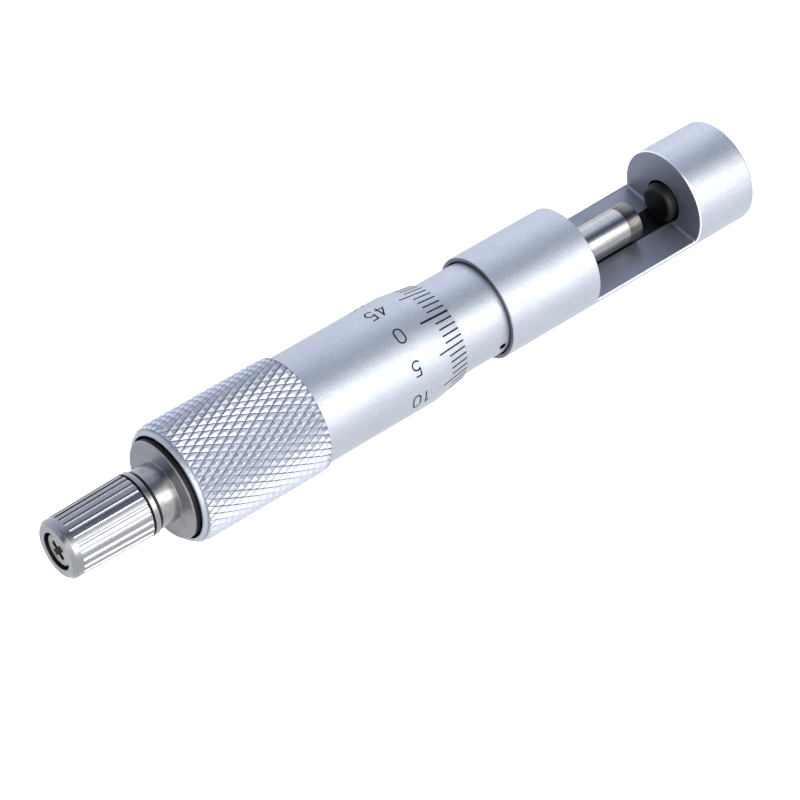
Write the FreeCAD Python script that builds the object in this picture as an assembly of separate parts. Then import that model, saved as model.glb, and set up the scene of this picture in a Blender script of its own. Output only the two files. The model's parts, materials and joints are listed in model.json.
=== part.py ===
import FreeCAD, Part

import math
import os

# Wire micrometer with a ratchet knob, read at 5.85 mm.
# Millimetres. The spindle axis is X, from the rear edge of the frame (x = 0) towards the
# anvil (+X). The notch in the frame opens along +Z.

# Reading
READING = 5.85
MEASURING_RANGE = 10.0
ZERO_MARK_X = -3.37

# Frame: a solid round bar with a deep notch
FRAME_RADIUS = 9.0
NOTCH_START = 18.6
NOTCH_LENGTH = 22.0
NOTCH_FLOOR_DROP = 2.95
NOTCH_CORNER_RADIUS = 0.5
NOTCH_EDGE_CHAMFER = 0.15
FRAME_NOSE_ROUNDING = 0.6
END_BLOCK_LENGTH = 12.2
RIM_WALL = 0.5
RIM_RECESS_DEPTH = 4.0
BUSH_SEAT_STEP = 1.0
BUSH_SEAT_LENGTH = 12.0
CHANNEL_CLEARANCE = 0.55
CHANNEL_DEPTH_IN_BLOCK = 2.4

# Anvil: a carbide pin let into the end block
ANVIL_OVERSIZE = 0.15
ANVIL_STANDOUT = 1.65
ANVIL_END_WALL = 2.8
ANVIL_EDGE_CHAMFER = 0.15

# Spindle and its carbide tip
SPINDLE_RADIUS = 3.25
SPINDLE_FIT = 0.02
TIP_LENGTH = 2.6
TIP_EDGE_CHAMFER = 0.12
TIP_FACE_GAP = 0.02
TIP_SPIGOT_RADIUS = 1.2
TIP_SPIGOT_LENGTH = 2.0
SCREW_STEP = 0.25
SCREW_FIT = 0.02
SCREW_TAIL_GAP = 0.5
SPINDLE_TAIL_STEP = 0.6

# Threaded bush, split at the rear, and the nut that takes up its play
BUSH_GUIDE_LENGTH = 31.0
BUSH_RELIEF_CLEARANCE = 0.2
BUSH_THREAD_LENGTH = 14.0
BUSH_TAIL_WALL = 2.0
BUSH_END_GAP = 1.65
BUSH_SLOT_COUNT = 3
BUSH_SLOT_WIDTH = 0.8
BUSH_SLOT_LENGTH = 12.0
SCREW_RUN_IN_GAP = 4.15
NUT_WALL = 1.3
NUT_LENGTH = 6.0
NUT_REAR_GAP = 1.0
NUT_NOTCH_COUNT = 4
NUT_NOTCH_WIDTH = 1.2
NUT_NOTCH_DEPTH = 1.0

# Graduated sleeve, turned with a spanner to set zero
SLEEVE_RIM_CLEARANCE = 0.45
SLEEVE_WALL = 1.03
SLEEVE_FIT = 0.02
SLEEVE_LENGTH = 31.7
SLEEVE_FRONT_GAP = 0.3
SPANNER_HOLE_RADIUS = 0.65
SPANNER_HOLE_X = -1.3
SPANNER_HOLE_ANGLE = 99.0

# Thimble
THIMBLE_CLEARANCE = 0.1
THIMBLE_LIP_WALL = 0.35
THIMBLE_WALL = 1.19
THIMBLE_BEVEL_LENGTH = 5.8
THIMBLE_SMOOTH_LENGTH = 28.15
THIMBLE_WEB_LENGTH = 6.5
THIMBLE_RECESS_DEPTH = 3.1
THIMBLE_RIM_WALL = 0.65
THIMBLE_RIM_LENGTH = 1.0
THIMBLE_RIM_DROP = 0.1
KNURL_ROOT_RISE = 0.08
KNURL_END_RISE = 0.28
KNURL_CREST_RISE = 0.66
KNURL_LENGTH = 23.25
KNURL_DIAMOND_LENGTH = 2.58
KNURL_DIAMOND_WIDTH = 1.36

# Taper connector and washer between spindle and thimble
CONNECTOR_NOSE = 0.5
CONNECTOR_WALL = 1.7
CONNECTOR_TAPER = 0.6
CLAMP_WASHER_OVERLAP = 1.4
CLAMP_WASHER_THICKNESS = 0.8

# Ratchet axle
FLANGE_GAP = 0.49
FLANGE_THICKNESS = 3.3
FLANGE_CHAMFER = 0.35
NECK_RADIUS = 4.95
NECK_LENGTH = 3.75
JOURNAL_STEP = 0.7
JOURNAL_LENGTH = 1.55
AXLE_RADIUS = 2.2
AXLE_LENGTH = 10.7
AXLE_FLAT_DROP = 1.8
AXLE_FLAT_LENGTH = 9.0
STUD_RADIUS = 2.0
STUD_LENGTH = 6.0
STUD_HOLE_RESERVE = 0.5

# Ratchet: spring, sliding ratchet and wheel
SPRING_LENGTH = 5.1
SPRING_RADIUS = 3.0
SPRING_WIRE = 0.5
SPRING_WIRE_SIDES = 8
SPRING_TURNS = 4.5
SPRING_END_GAP = 0.02
RATCHET_BORE_CLEARANCE = 0.25
RATCHET_THICKNESS = 1.6
RATCHET_TOOTH_COUNT = 24
RATCHET_TOOTH_HEIGHT = 0.5
RATCHET_TOOTH_MARGIN = 0.1
RATCHET_TOOTH_LENGTH = 1.15
RATCHET_RAMP_SHARE = 0.86
RATCHET_CLEARANCE = 0.05
WHEEL_THICKNESS = 3.35

# Ratchet knob
KNOB_FRONT_GAP = 0.2
KNOB_FRONT_RADIUS = 5.25
KNOB_COLLAR_RISE = 0.03
KNOB_COLLAR_LENGTH = 0.9
KNOB_COLLAR_CHAMFER = 0.15
KNOB_UNDERCUT_DEPTH = 0.35
KNOB_UNDERCUT_LENGTH = 0.35
KNOB_TAPER = 0.33
KNOB_NOSE_ROUNDING = 0.8
KNOB_LENGTH = 15.55
KNOB_WALL = 1.05
KNOB_HOLE_CLEARANCE = 0.13
KNOB_FIT = 0.05
FLUTE_COUNT = 24
FLUTE_RADIUS = 0.235
FLUTE_DEPTH = 0.28
FLUTE_NOSE_MARGIN = 1.6

# Knob screw and washer
SCREW_HEAD_RADIUS = 2.8
SCREW_HEAD_HEIGHT = 1.9
SCREW_HEAD_ROUNDING = 0.35
SCREW_SHANK_RADIUS = 1.25
SCREW_SHANK_LENGTH = 7.0
CROSS_SPAN = 3.3
CROSS_WIDTH = 0.75
CROSS_DEPTH = 1.1
KNOB_WASHER_OVERLAP = 0.2
KNOB_WASHER_THICKNESS = 1.2
WASHER_HOLE_CLEARANCE = 0.1

# Radii of what turns or seats round the spindle
channel_radius = SPINDLE_RADIUS + CHANNEL_CLEARANCE
anvil_radius = SPINDLE_RADIUS + ANVIL_OVERSIZE
screw_radius = SPINDLE_RADIUS + SCREW_STEP
relief_radius = screw_radius + BUSH_RELIEF_CLEARANCE
spindle_tail_radius = screw_radius - SPINDLE_TAIL_STEP
connector_rear_radius = spindle_tail_radius + CONNECTOR_WALL
connector_front_radius = connector_rear_radius + CONNECTOR_TAPER
clamp_washer_radius = connector_rear_radius + CLAMP_WASHER_OVERLAP
bush_tail_radius = screw_radius + BUSH_TAIL_WALL
nut_radius = bush_tail_radius + NUT_WALL

# Radii of what follows the round frame, from the outside in and back out
rim_recess_radius = FRAME_RADIUS - RIM_WALL
sleeve_radius = rim_recess_radius - SLEEVE_RIM_CLEARANCE
sleeve_bore = sleeve_radius - SLEEVE_WALL
bush_body_radius = sleeve_bore - SLEEVE_FIT
bush_seat_radius = bush_body_radius - BUSH_SEAT_STEP
thimble_bore = sleeve_radius + THIMBLE_CLEARANCE
thimble_lip_radius = thimble_bore + THIMBLE_LIP_WALL
thimble_radius = thimble_bore + THIMBLE_WALL
knurl_root_radius = thimble_radius + KNURL_ROOT_RISE
knurl_end_radius = thimble_radius + KNURL_END_RISE
knurl_crest_radius = thimble_radius + KNURL_CREST_RISE
thimble_rim_radius = knurl_root_radius - THIMBLE_RIM_DROP
thimble_recess_radius = thimble_rim_radius - THIMBLE_RIM_WALL
flange_radius = thimble_recess_radius - FLANGE_GAP

# Radii inside and outside the ratchet knob
journal_radius = NECK_RADIUS - JOURNAL_STEP
knob_collar_radius = KNOB_FRONT_RADIUS + KNOB_COLLAR_RISE
knob_undercut_radius = KNOB_FRONT_RADIUS - KNOB_UNDERCUT_DEPTH
knob_nose_radius = KNOB_FRONT_RADIUS - KNOB_TAPER
knob_bore_radius = KNOB_FRONT_RADIUS - KNOB_WALL
knob_hole_radius = SCREW_HEAD_RADIUS + KNOB_WASHER_OVERLAP + KNOB_HOLE_CLEARANCE
knob_washer_radius = SCREW_HEAD_RADIUS + KNOB_WASHER_OVERLAP
ratchet_radius = knob_bore_radius - RATCHET_BORE_CLEARANCE
tooth_outer_radius = ratchet_radius - RATCHET_TOOTH_MARGIN
tooth_inner_radius = tooth_outer_radius - RATCHET_TOOTH_LENGTH

# Places along the axis of what is fixed to the frame
notch_end = NOTCH_START + NOTCH_LENGTH
frame_front = notch_end + END_BLOCK_LENGTH
anvil_face = notch_end - ANVIL_STANDOUT
anvil_seat_front = notch_end + CHANNEL_DEPTH_IN_BLOCK
anvil_rear = frame_front - ANVIL_END_WALL
bush_front = RIM_RECESS_DEPTH + BUSH_SEAT_LENGTH
guide_rear = bush_front - BUSH_GUIDE_LENGTH
sleeve_front = RIM_RECESS_DEPTH - SLEEVE_FRONT_GAP
sleeve_rear = sleeve_front - SLEEVE_LENGTH

# Places along the axis of what travels with the spindle
tip_face = anvil_face - READING
spindle_front = tip_face - TIP_LENGTH
screw_front = guide_rear - SCREW_RUN_IN_GAP - READING
thimble_front = ZERO_MARK_X - READING
bevel_rear = thimble_front - THIMBLE_BEVEL_LENGTH
knurl_front = thimble_front - THIMBLE_SMOOTH_LENGTH
knurl_rear = knurl_front - KNURL_LENGTH
thimble_rear = knurl_rear - THIMBLE_RIM_LENGTH
web_rear = thimble_rear + THIMBLE_RECESS_DEPTH
web_front = web_rear + THIMBLE_WEB_LENGTH
connector_front = web_front + CONNECTOR_NOSE
screw_rear = connector_front + SCREW_TAIL_GAP
flange_front = web_rear - CLAMP_WASHER_THICKNESS
flange_rear = flange_front - FLANGE_THICKNESS
neck_rear = flange_rear - NECK_LENGTH
journal_rear = neck_rear - JOURNAL_LENGTH
axle_rear = journal_rear - AXLE_LENGTH
ratchet_front = journal_rear - SPRING_LENGTH
ratchet_tooth_base = ratchet_front - RATCHET_THICKNESS
wheel_tooth_base = ratchet_tooth_base - RATCHET_TOOTH_HEIGHT - RATCHET_CLEARANCE
wheel_rear = wheel_tooth_base - WHEEL_THICKNESS
knob_front = neck_rear - KNOB_FRONT_GAP
knob_rear = knob_front - KNOB_LENGTH
washer_rear = axle_rear - KNOB_WASHER_THICKNESS

# The bush ends where the taper connector stops when the spindle meets the anvil
bush_rear = connector_front + READING + BUSH_END_GAP
thread_front = bush_rear + BUSH_THREAD_LENGTH

EDGE_MATCH = 1e-4
AXIS = FreeCAD.Vector(1, 0, 0)
ORIGIN = FreeCAD.Vector(0, 0, 0)


def point(x, radius, degrees=0.0):
    """A point at a radius from the axis; degrees turn from +Z about +X."""
    turn = math.radians(degrees)
    return FreeCAD.Vector(x, -radius * math.sin(turn), radius * math.cos(turn))


def outline_edges(steps):
    """Lines through (x, radius) points; a step of two points is an arc through the first."""
    edges = []
    here = point(*steps[0])
    for step in steps[1:]:
        if isinstance(step[0], tuple):
            middle = point(*step[0])
            there = point(*step[1])
            edges.append(Part.Arc(here, middle, there).toShape())
        else:
            there = point(*step)
            edges.append(Part.makeLine(here, there))
        here = there
    return edges


def turned(*steps):
    """A solid turned about the axis from a closed outline."""
    wire = Part.Wire(outline_edges(steps + (steps[0],)))
    return Part.Face(wire).revolve(ORIGIN, AXIS, 360)


def round_corner(x, radius, rounding, x_side, radius_side):
    """Two steps that round the outer corner at (x, radius) between a face and a cylinder."""
    centre_x = x - x_side * rounding
    centre_radius = radius - radius_side * rounding
    share = math.sqrt(0.5) * rounding
    middle = (centre_x + x_side * share, centre_radius + radius_side * share)
    return centre_x, centre_radius, middle


def cylinder(x_start, x_end, radius):
    """A plain cylinder on the axis between two places."""
    start = FreeCAD.Vector(min(x_start, x_end), 0, 0)
    return Part.makeCylinder(radius, abs(x_end - x_start), start, AXIS)


def box(x_low, x_high, y_low, y_high, z_low, z_high):
    """A box between two corners."""
    corner = FreeCAD.Vector(x_low, y_low, z_low)
    return Part.makeBox(x_high - x_low, y_high - y_low, z_high - z_low, corner)


def around_axis(shape, count, first=0.0):
    """Copies of a shape, evenly spaced round the axis."""
    copies = []
    for index in range(count):
        copy = shape.copy()
        copy.rotate(ORIGIN, AXIS, first + 360.0 * index / count)
        copies.append(copy)
    return copies


def build_frame():
    """Round bar with the notch, the recess for the sleeve, the bush seat and the channel."""
    nose_x, nose_radius, nose_middle = round_corner(
        frame_front, FRAME_RADIUS, FRAME_NOSE_ROUNDING, 1, 1)
    bar = turned(
        (0, rim_recess_radius),
        (0, FRAME_RADIUS),
        (nose_x, FRAME_RADIUS),
        (nose_middle, (frame_front, nose_radius)),
        (frame_front, 0),
        (anvil_rear, 0),
        (anvil_rear, anvil_radius),
        (anvil_seat_front, anvil_radius),
        (anvil_seat_front, channel_radius),
        (bush_front, channel_radius),
        (bush_front, bush_seat_radius),
        (RIM_RECESS_DEPTH, bush_seat_radius),
        (RIM_RECESS_DEPTH, rim_recess_radius),
    )
    reach = 2 * FRAME_RADIUS
    cutter = box(NOTCH_START, notch_end, -reach, reach, -NOTCH_FLOOR_DROP, reach)
    corners = []
    for edge in cutter.Edges:
        middle = edge.CenterOfMass
        along_y = abs(middle.y) < EDGE_MATCH
        if along_y and abs(middle.z + NOTCH_FLOOR_DROP) < EDGE_MATCH:
            corners.append(edge)
    cutter = cutter.makeFillet(NOTCH_CORNER_RADIUS, corners)
    notched = bar.cut(cutter)
    rim = [edge for edge in notched.Edges if on_notch_rim(edge)]
    return notched.makeChamfer(NOTCH_EDGE_CHAMFER, rim)


def on_notch_rim(edge):
    """True for the edges where the notch breaks out of the round bar."""
    middle = edge.valueAt((edge.FirstParameter + edge.LastParameter) / 2)
    outside = abs(math.hypot(middle.y, middle.z) - FRAME_RADIUS) < EDGE_MATCH
    at_end = min(abs(middle.x - NOTCH_START), abs(middle.x - notch_end)) < NOTCH_CORNER_RADIUS
    at_floor = abs(middle.z + NOTCH_FLOOR_DROP) < EDGE_MATCH
    return outside and (at_end or at_floor)


def build_anvil():
    """Carbide pin with a flat measuring face and a fine chamfer."""
    chamfer = ANVIL_EDGE_CHAMFER
    return turned(
        (anvil_face, 0),
        (anvil_face, anvil_radius - chamfer),
        (anvil_face + chamfer, anvil_radius),
        (anvil_rear, anvil_radius),
        (anvil_rear, 0),
    )


def build_threaded_bush():
    """Bush with the spindle guide, the relief and the split, threaded rear end."""
    guide = SPINDLE_RADIUS + SPINDLE_FIT
    thread = screw_radius + SCREW_FIT
    bush = turned(
        (bush_front, guide),
        (bush_front, bush_seat_radius),
        (RIM_RECESS_DEPTH, bush_seat_radius),
        (RIM_RECESS_DEPTH, bush_body_radius),
        (sleeve_rear, bush_body_radius),
        (sleeve_rear, bush_tail_radius),
        (bush_rear, bush_tail_radius),
        (bush_rear, thread),
        (thread_front, thread),
        (thread_front, relief_radius),
        (guide_rear, relief_radius),
        (guide_rear, guide),
    )
    half = BUSH_SLOT_WIDTH / 2
    slot = box(bush_rear, bush_rear + BUSH_SLOT_LENGTH, -half, half, 0, 2 * bush_tail_radius)
    return bush.cut(around_axis(slot, BUSH_SLOT_COUNT))


def build_adjusting_nut():
    """Ring nut on the split end of the bush, with notches for a spanner."""
    rear = bush_rear + NUT_REAR_GAP
    nut = turned(
        (rear, bush_tail_radius),
        (rear, nut_radius),
        (rear + NUT_LENGTH, nut_radius),
        (rear + NUT_LENGTH, bush_tail_radius),
    )
    half = NUT_NOTCH_WIDTH / 2
    notch = box(rear, rear + NUT_NOTCH_DEPTH, -half, half, 0, 2 * nut_radius)
    return nut.cut(around_axis(notch, NUT_NOTCH_COUNT))


def build_graduated_sleeve():
    """Thin sleeve on the bush, with one hole for the setting spanner."""
    sleeve = turned(
        (sleeve_front, sleeve_bore),
        (sleeve_front, sleeve_radius),
        (sleeve_rear, sleeve_radius),
        (sleeve_rear, sleeve_bore),
    )
    start = point(SPANNER_HOLE_X, 0)
    outward = point(0, 1, SPANNER_HOLE_ANGLE)
    hole = Part.makeCylinder(SPANNER_HOLE_RADIUS, 2 * sleeve_radius, start, outward)
    return sleeve.cut(hole)


def build_spindle():
    """Ground spindle with its screw and the tail that carries the thimble."""
    socket = TIP_SPIGOT_RADIUS + SPINDLE_FIT
    socket_end = spindle_front - TIP_SPIGOT_LENGTH - TIP_FACE_GAP
    front = spindle_front - TIP_FACE_GAP
    stud_hole_front = flange_front + STUD_LENGTH + STUD_HOLE_RESERVE
    return turned(
        (socket_end, 0),
        (socket_end, socket),
        (front, socket),
        (front, SPINDLE_RADIUS),
        (screw_front, SPINDLE_RADIUS),
        (screw_front, screw_radius),
        (screw_rear, screw_radius),
        (screw_rear, spindle_tail_radius),
        (web_rear, spindle_tail_radius),
        (web_rear, STUD_RADIUS),
        (stud_hole_front, STUD_RADIUS),
        (stud_hole_front, 0),
    )


def build_spindle_tip():
    """Carbide tip with a spigot in the end of the spindle."""
    chamfer = TIP_EDGE_CHAMFER
    return turned(
        (spindle_front - TIP_SPIGOT_LENGTH, 0),
        (spindle_front - TIP_SPIGOT_LENGTH, TIP_SPIGOT_RADIUS),
        (spindle_front, TIP_SPIGOT_RADIUS),
        (spindle_front, SPINDLE_RADIUS),
        (tip_face - chamfer, SPINDLE_RADIUS),
        (tip_face, SPINDLE_RADIUS - chamfer),
        (tip_face, 0),
    )


def build_taper_connector():
    """Cone that locks the thimble to the tail of the spindle."""
    slope = CONNECTOR_TAPER / THIMBLE_WEB_LENGTH
    nose_radius = connector_front_radius + slope * CONNECTOR_NOSE
    return turned(
        (connector_front, spindle_tail_radius),
        (connector_front, nose_radius),
        (web_rear, connector_rear_radius),
        (web_rear, spindle_tail_radius),
    )


def build_clamp_washer():
    """Washer under the flange of the ratchet axle."""
    return turned(
        (web_rear, STUD_RADIUS + WASHER_HOLE_CLEARANCE),
        (web_rear, clamp_washer_radius),
        (flange_front, clamp_washer_radius),
        (flange_front, STUD_RADIUS + WASHER_HOLE_CLEARANCE),
    )


def knurl_node(row, column, rows, columns):
    """One corner of the knurl: crests and roots alternate, and straight down lies between two."""
    x = knurl_front - KNURL_LENGTH * row / rows
    radius = knurl_root_radius
    if (row + column) % 2 == 0:
        radius = knurl_crest_radius
        if row in (0, rows):
            radius = knurl_end_radius
    return point(x, radius, 360.0 * (column + 0.5) / columns)


def triangle(first, second, third):
    """A flat three-sided face."""
    return Part.Face(Part.makePolygon([first, second, third, first]))


def knurl_faces(rows, columns):
    """Diamond pyramids, each crest joined to the four roots round it by flat faces."""
    faces = []
    for row in range(rows):
        for column in range(columns):
            near = knurl_node(row, column, rows, columns)
            far = knurl_node(row + 1, column, rows, columns)
            far_next = knurl_node(row + 1, column + 1, rows, columns)
            near_next = knurl_node(row, column + 1, rows, columns)
            if (row + column) % 2 == 0:
                faces.append(triangle(near, far, near_next))
                faces.append(triangle(far_next, near_next, far))
            else:
                faces.append(triangle(far, far_next, near))
                faces.append(triangle(near_next, near, far_next))
    return faces


def knurl_end(row, rows, columns, inner_radius):
    """The flat ring that closes one end of the knurl on the smooth thimble."""
    corners = [knurl_node(row, column, rows, columns) for column in range(columns + 1)]
    x = corners[0].x
    inner = Part.Vertex(point(x, inner_radius)).revolve(ORIGIN, AXIS, 360)
    disc = Part.Face(Part.Wire(inner))
    return Part.Face(Part.makePolygon(corners)).cut(disc).Faces[0]


def build_thimble():
    """Thimble with its bevelled edge, knurled grip, web and rear recess."""
    rim_x, rim_flat, rim_middle = round_corner(
        thimble_rear, thimble_rim_radius, THIMBLE_RIM_WALL / 2, -1, 1)
    edges = outline_edges([
        (knurl_front, thimble_radius),
        (bevel_rear, thimble_radius),
        (thimble_front, thimble_lip_radius),
        (thimble_front, thimble_bore),
        (web_front, thimble_bore),
        (web_front, connector_front_radius),
        (web_rear, connector_rear_radius),
        (web_rear, thimble_recess_radius),
        (thimble_rear, thimble_recess_radius),
        (thimble_rear, rim_flat),
        (rim_middle, (rim_x, thimble_rim_radius)),
        (knurl_rear, thimble_rim_radius),
    ])
    turned_shell = Part.Wire(edges).revolve(ORIGIN, AXIS, 360)
    middle_radius = (knurl_crest_radius + knurl_root_radius) / 2
    columns = 2 * round(2 * math.pi * middle_radius / KNURL_DIAMOND_WIDTH)
    rows = 2 * round(KNURL_LENGTH / KNURL_DIAMOND_LENGTH)
    faces = list(turned_shell.Faces)
    faces += knurl_faces(rows, columns)
    faces.append(knurl_end(0, rows, columns, thimble_radius))
    faces.append(knurl_end(rows, rows, columns, thimble_rim_radius))
    shell = Part.Shell(faces)
    shell.sewShape()
    solid = Part.Solid(shell.Shells[0])
    if solid.Volume < 0:
        solid.reverse()
    return solid


def build_ratchet_axle():
    """Flanged axle: stud into the spindle, neck, knob journal and flatted rear end."""
    shank_front = axle_rear + SCREW_SHANK_LENGTH
    axle = turned(
        (flange_front + STUD_LENGTH, 0),
        (flange_front + STUD_LENGTH, STUD_RADIUS),
        (flange_front, STUD_RADIUS),
        (flange_front, flange_radius),
        (flange_rear + FLANGE_CHAMFER, flange_radius),
        (flange_rear, flange_radius - FLANGE_CHAMFER),
        (flange_rear, NECK_RADIUS),
        (neck_rear, NECK_RADIUS),
        (neck_rear, journal_radius),
        (journal_rear, journal_radius),
        (journal_rear, AXLE_RADIUS),
        (axle_rear, AXLE_RADIUS),
        (axle_rear, SCREW_SHANK_RADIUS),
        (shank_front, SCREW_SHANK_RADIUS),
        (shank_front, 0),
    )
    return axle.cut(axle_flats(axle_rear, axle_rear + AXLE_FLAT_LENGTH, AXLE_FLAT_DROP))


def axle_flats(x_low, x_high, drop):
    """The two blocks that leave flats at a distance from the axis."""
    reach = 2 * AXLE_RADIUS
    block = box(x_low, x_high, -reach, reach, drop, reach)
    return around_axis(block, 2)


def build_ratchet_spring():
    """Coil spring between the journal and the sliding ratchet."""
    wire_radius = SPRING_WIRE / 2
    length = SPRING_LENGTH - SPRING_WIRE - 2 * SPRING_END_GAP
    helix = Part.makeHelix(length / SPRING_TURNS, length, SPRING_RADIUS)
    corners = []
    for side in range(SPRING_WIRE_SIDES + 1):
        turn = 2 * math.pi * side / SPRING_WIRE_SIDES
        across = SPRING_RADIUS + wire_radius * math.cos(turn)
        corners.append(FreeCAD.Vector(across, 0, wire_radius * math.sin(turn)))
    section = Part.makePolygon(corners)
    spring = Part.Wire(helix).makePipeShell([section], True, True)
    spring.rotate(ORIGIN, FreeCAD.Vector(0, 1, 0), -90)
    spring.translate(FreeCAD.Vector(journal_rear - SPRING_END_GAP - wire_radius, 0, 0))
    return spring


def tooth(base_x, crest_x, low, crest, high):
    """One saw tooth between its root, crest and next root, given in degrees."""
    wires = []
    for radius in (tooth_inner_radius, tooth_outer_radius):
        corners = [
            point(base_x, radius, low),
            point(crest_x, radius, crest),
            point(base_x, radius, high),
        ]
        wires.append(Part.makePolygon(corners + corners[:1]))
    return Part.makeLoft(wires, True, True)


def build_sliding_ratchet():
    """Ring with saw teeth at the rear and a bore with flats that follow the axle."""
    bore = cylinder(ratchet_tooth_base, ratchet_front, AXLE_RADIUS + KNOB_FIT)
    drop = AXLE_FLAT_DROP + KNOB_FIT
    bore = bore.cut(axle_flats(ratchet_tooth_base, ratchet_front, drop))
    ring = cylinder(ratchet_tooth_base, ratchet_front, ratchet_radius).cut(bore)
    crest_x = ratchet_tooth_base - RATCHET_TOOTH_HEIGHT
    step = 360.0 / RATCHET_TOOTH_COUNT
    crest = step * RATCHET_RAMP_SHARE
    first = tooth(ratchet_tooth_base, crest_x, 0, crest, step)
    return ring.fuse(around_axis(first, RATCHET_TOOTH_COUNT))


def build_ratchet_wheel():
    """Ring pressed into the knob, with teeth that answer those of the sliding ratchet."""
    ring = cylinder(wheel_rear, wheel_tooth_base, knob_bore_radius)
    ring = ring.cut(cylinder(wheel_rear, wheel_tooth_base, AXLE_RADIUS + KNOB_FIT))
    crest_x = wheel_tooth_base + RATCHET_TOOTH_HEIGHT
    step = 360.0 / RATCHET_TOOTH_COUNT
    root = step * RATCHET_RAMP_SHARE
    first = tooth(wheel_tooth_base, crest_x, root - step, 0, root)
    return ring.fuse(around_axis(first, RATCHET_TOOTH_COUNT))


def flute_cutter(front_x, slope):
    """Round-bottomed flute along the tapered knob, with a ball end towards the nose."""
    length = front_x - knob_rear - FLUTE_NOSE_MARGIN - FLUTE_RADIUS
    start = FreeCAD.Vector(0, 0, 0)
    flute = Part.makeCylinder(FLUTE_RADIUS, length, start, FreeCAD.Vector(-1, 0, 0))
    flute = flute.fuse(Part.makeSphere(FLUTE_RADIUS, FreeCAD.Vector(-length, 0, 0)))
    flute.rotate(ORIGIN, FreeCAD.Vector(0, 1, 0), -math.degrees(math.atan(slope)))
    flute.translate(FreeCAD.Vector(front_x, 0, KNOB_FRONT_RADIUS - FLUTE_DEPTH + FLUTE_RADIUS))
    return flute


def build_ratchet_knob():
    """Tapered, fluted knob with a collar, an undercut and a rounded nose."""
    journal_bore = journal_radius + KNOB_FIT
    collar_rear = knob_front - KNOB_COLLAR_LENGTH
    undercut_rear = collar_rear - KNOB_UNDERCUT_LENGTH
    chamfer = KNOB_COLLAR_CHAMFER
    nose_x, nose_radius, nose_middle = round_corner(
        knob_rear, knob_nose_radius, KNOB_NOSE_ROUNDING, -1, 1)
    knob = turned(
        (knob_front, journal_bore),
        (knob_front, knob_collar_radius - chamfer),
        (knob_front - chamfer, knob_collar_radius),
        (collar_rear + chamfer, knob_collar_radius),
        (collar_rear, knob_collar_radius - chamfer),
        (collar_rear, knob_undercut_radius),
        (undercut_rear, knob_undercut_radius),
        (undercut_rear, KNOB_FRONT_RADIUS),
        (nose_x, knob_nose_radius),
        (nose_middle, (knob_rear, nose_radius)),
        (knob_rear, knob_hole_radius + chamfer),
        (knob_rear + chamfer, knob_hole_radius),
        (wheel_rear, knob_hole_radius),
        (wheel_rear, knob_bore_radius),
        (journal_rear - KNOB_FRONT_GAP, knob_bore_radius),
        (journal_rear - KNOB_FRONT_GAP, journal_bore),
    )
    slope = (KNOB_FRONT_RADIUS - knob_nose_radius) / (undercut_rear - nose_x)
    return knob.cut(around_axis(flute_cutter(undercut_rear, slope), FLUTE_COUNT))


def build_knob_washer():
    """Washer that keeps the knob on the axle."""
    hole = SCREW_SHANK_RADIUS + WASHER_HOLE_CLEARANCE
    return turned(
        (axle_rear, hole),
        (axle_rear, knob_washer_radius),
        (washer_rear, knob_washer_radius),
        (washer_rear, hole),
    )


def cross_arm(x_head):
    """One arm of the cross recess, narrower and shorter at its floor."""
    wires = []
    for depth, share in ((-CROSS_WIDTH, 1.3), (CROSS_DEPTH, 0.6)):
        half_span = CROSS_SPAN * share / 2
        half_width = CROSS_WIDTH * share / 2
        x = x_head + depth
        corners = [
            FreeCAD.Vector(x, -half_width, -half_span),
            FreeCAD.Vector(x, half_width, -half_span),
            FreeCAD.Vector(x, half_width, half_span),
            FreeCAD.Vector(x, -half_width, half_span),
        ]
        wires.append(Part.makePolygon(corners + corners[:1]))
    return Part.makeLoft(wires, True, True)


def build_knob_screw():
    """Cross-head screw in the end of the axle."""
    head_rear = washer_rear - SCREW_HEAD_HEIGHT
    round_x, round_radius, round_middle = round_corner(
        head_rear, SCREW_HEAD_RADIUS, SCREW_HEAD_ROUNDING, -1, 1)
    shank_front = axle_rear + SCREW_SHANK_LENGTH
    screw = turned(
        (shank_front, 0),
        (shank_front, SCREW_SHANK_RADIUS),
        (washer_rear, SCREW_SHANK_RADIUS),
        (washer_rear, SCREW_HEAD_RADIUS),
        (round_x, SCREW_HEAD_RADIUS),
        (round_middle, (head_rear, round_radius)),
        (head_rear, 0),
    )
    arm = cross_arm(head_rear)
    other_arm = arm.copy()
    other_arm.rotate(ORIGIN, AXIS, 90)
    return screw.cut([arm, other_arm])


PIECES = {
    "frame": build_frame,
    "anvil": build_anvil,
    "threaded_bush": build_threaded_bush,
    "adjusting_nut": build_adjusting_nut,
    "graduated_sleeve": build_graduated_sleeve,
    "spindle": build_spindle,
    "spindle_tip": build_spindle_tip,
    "taper_connector": build_taper_connector,
    "clamp_washer": build_clamp_washer,
    "thimble": build_thimble,
    "ratchet_axle": build_ratchet_axle,
    "ratchet_spring": build_ratchet_spring,
    "sliding_ratchet": build_sliding_ratchet,
    "ratchet_wheel": build_ratchet_wheel,
    "ratchet_knob": build_ratchet_knob,
    "knob_washer": build_knob_washer,
    "knob_screw": build_knob_screw,
}


def single_solid(name, shape):
    """The one closed solid of a piece."""
    solids = shape.Solids
    if len(solids) != 1 or not solids[0].isValid():
        raise ValueError(f"{name} is not one valid solid")
    return solids[0]


os.makedirs("parts", exist_ok=True)
for piece, build in PIECES.items():
    solid = single_solid(piece, build())
    solid.exportStep(f"parts/{piece}.step")
    print(f"{piece}: volume {solid.Volume:.1f}, {len(solid.Faces)} faces")
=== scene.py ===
# Wire micrometer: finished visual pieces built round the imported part. Lengths are in metres.
# The spindle axis is X and points from the knob to the anvil; the notch opens along +Z.

import json
import math

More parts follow.
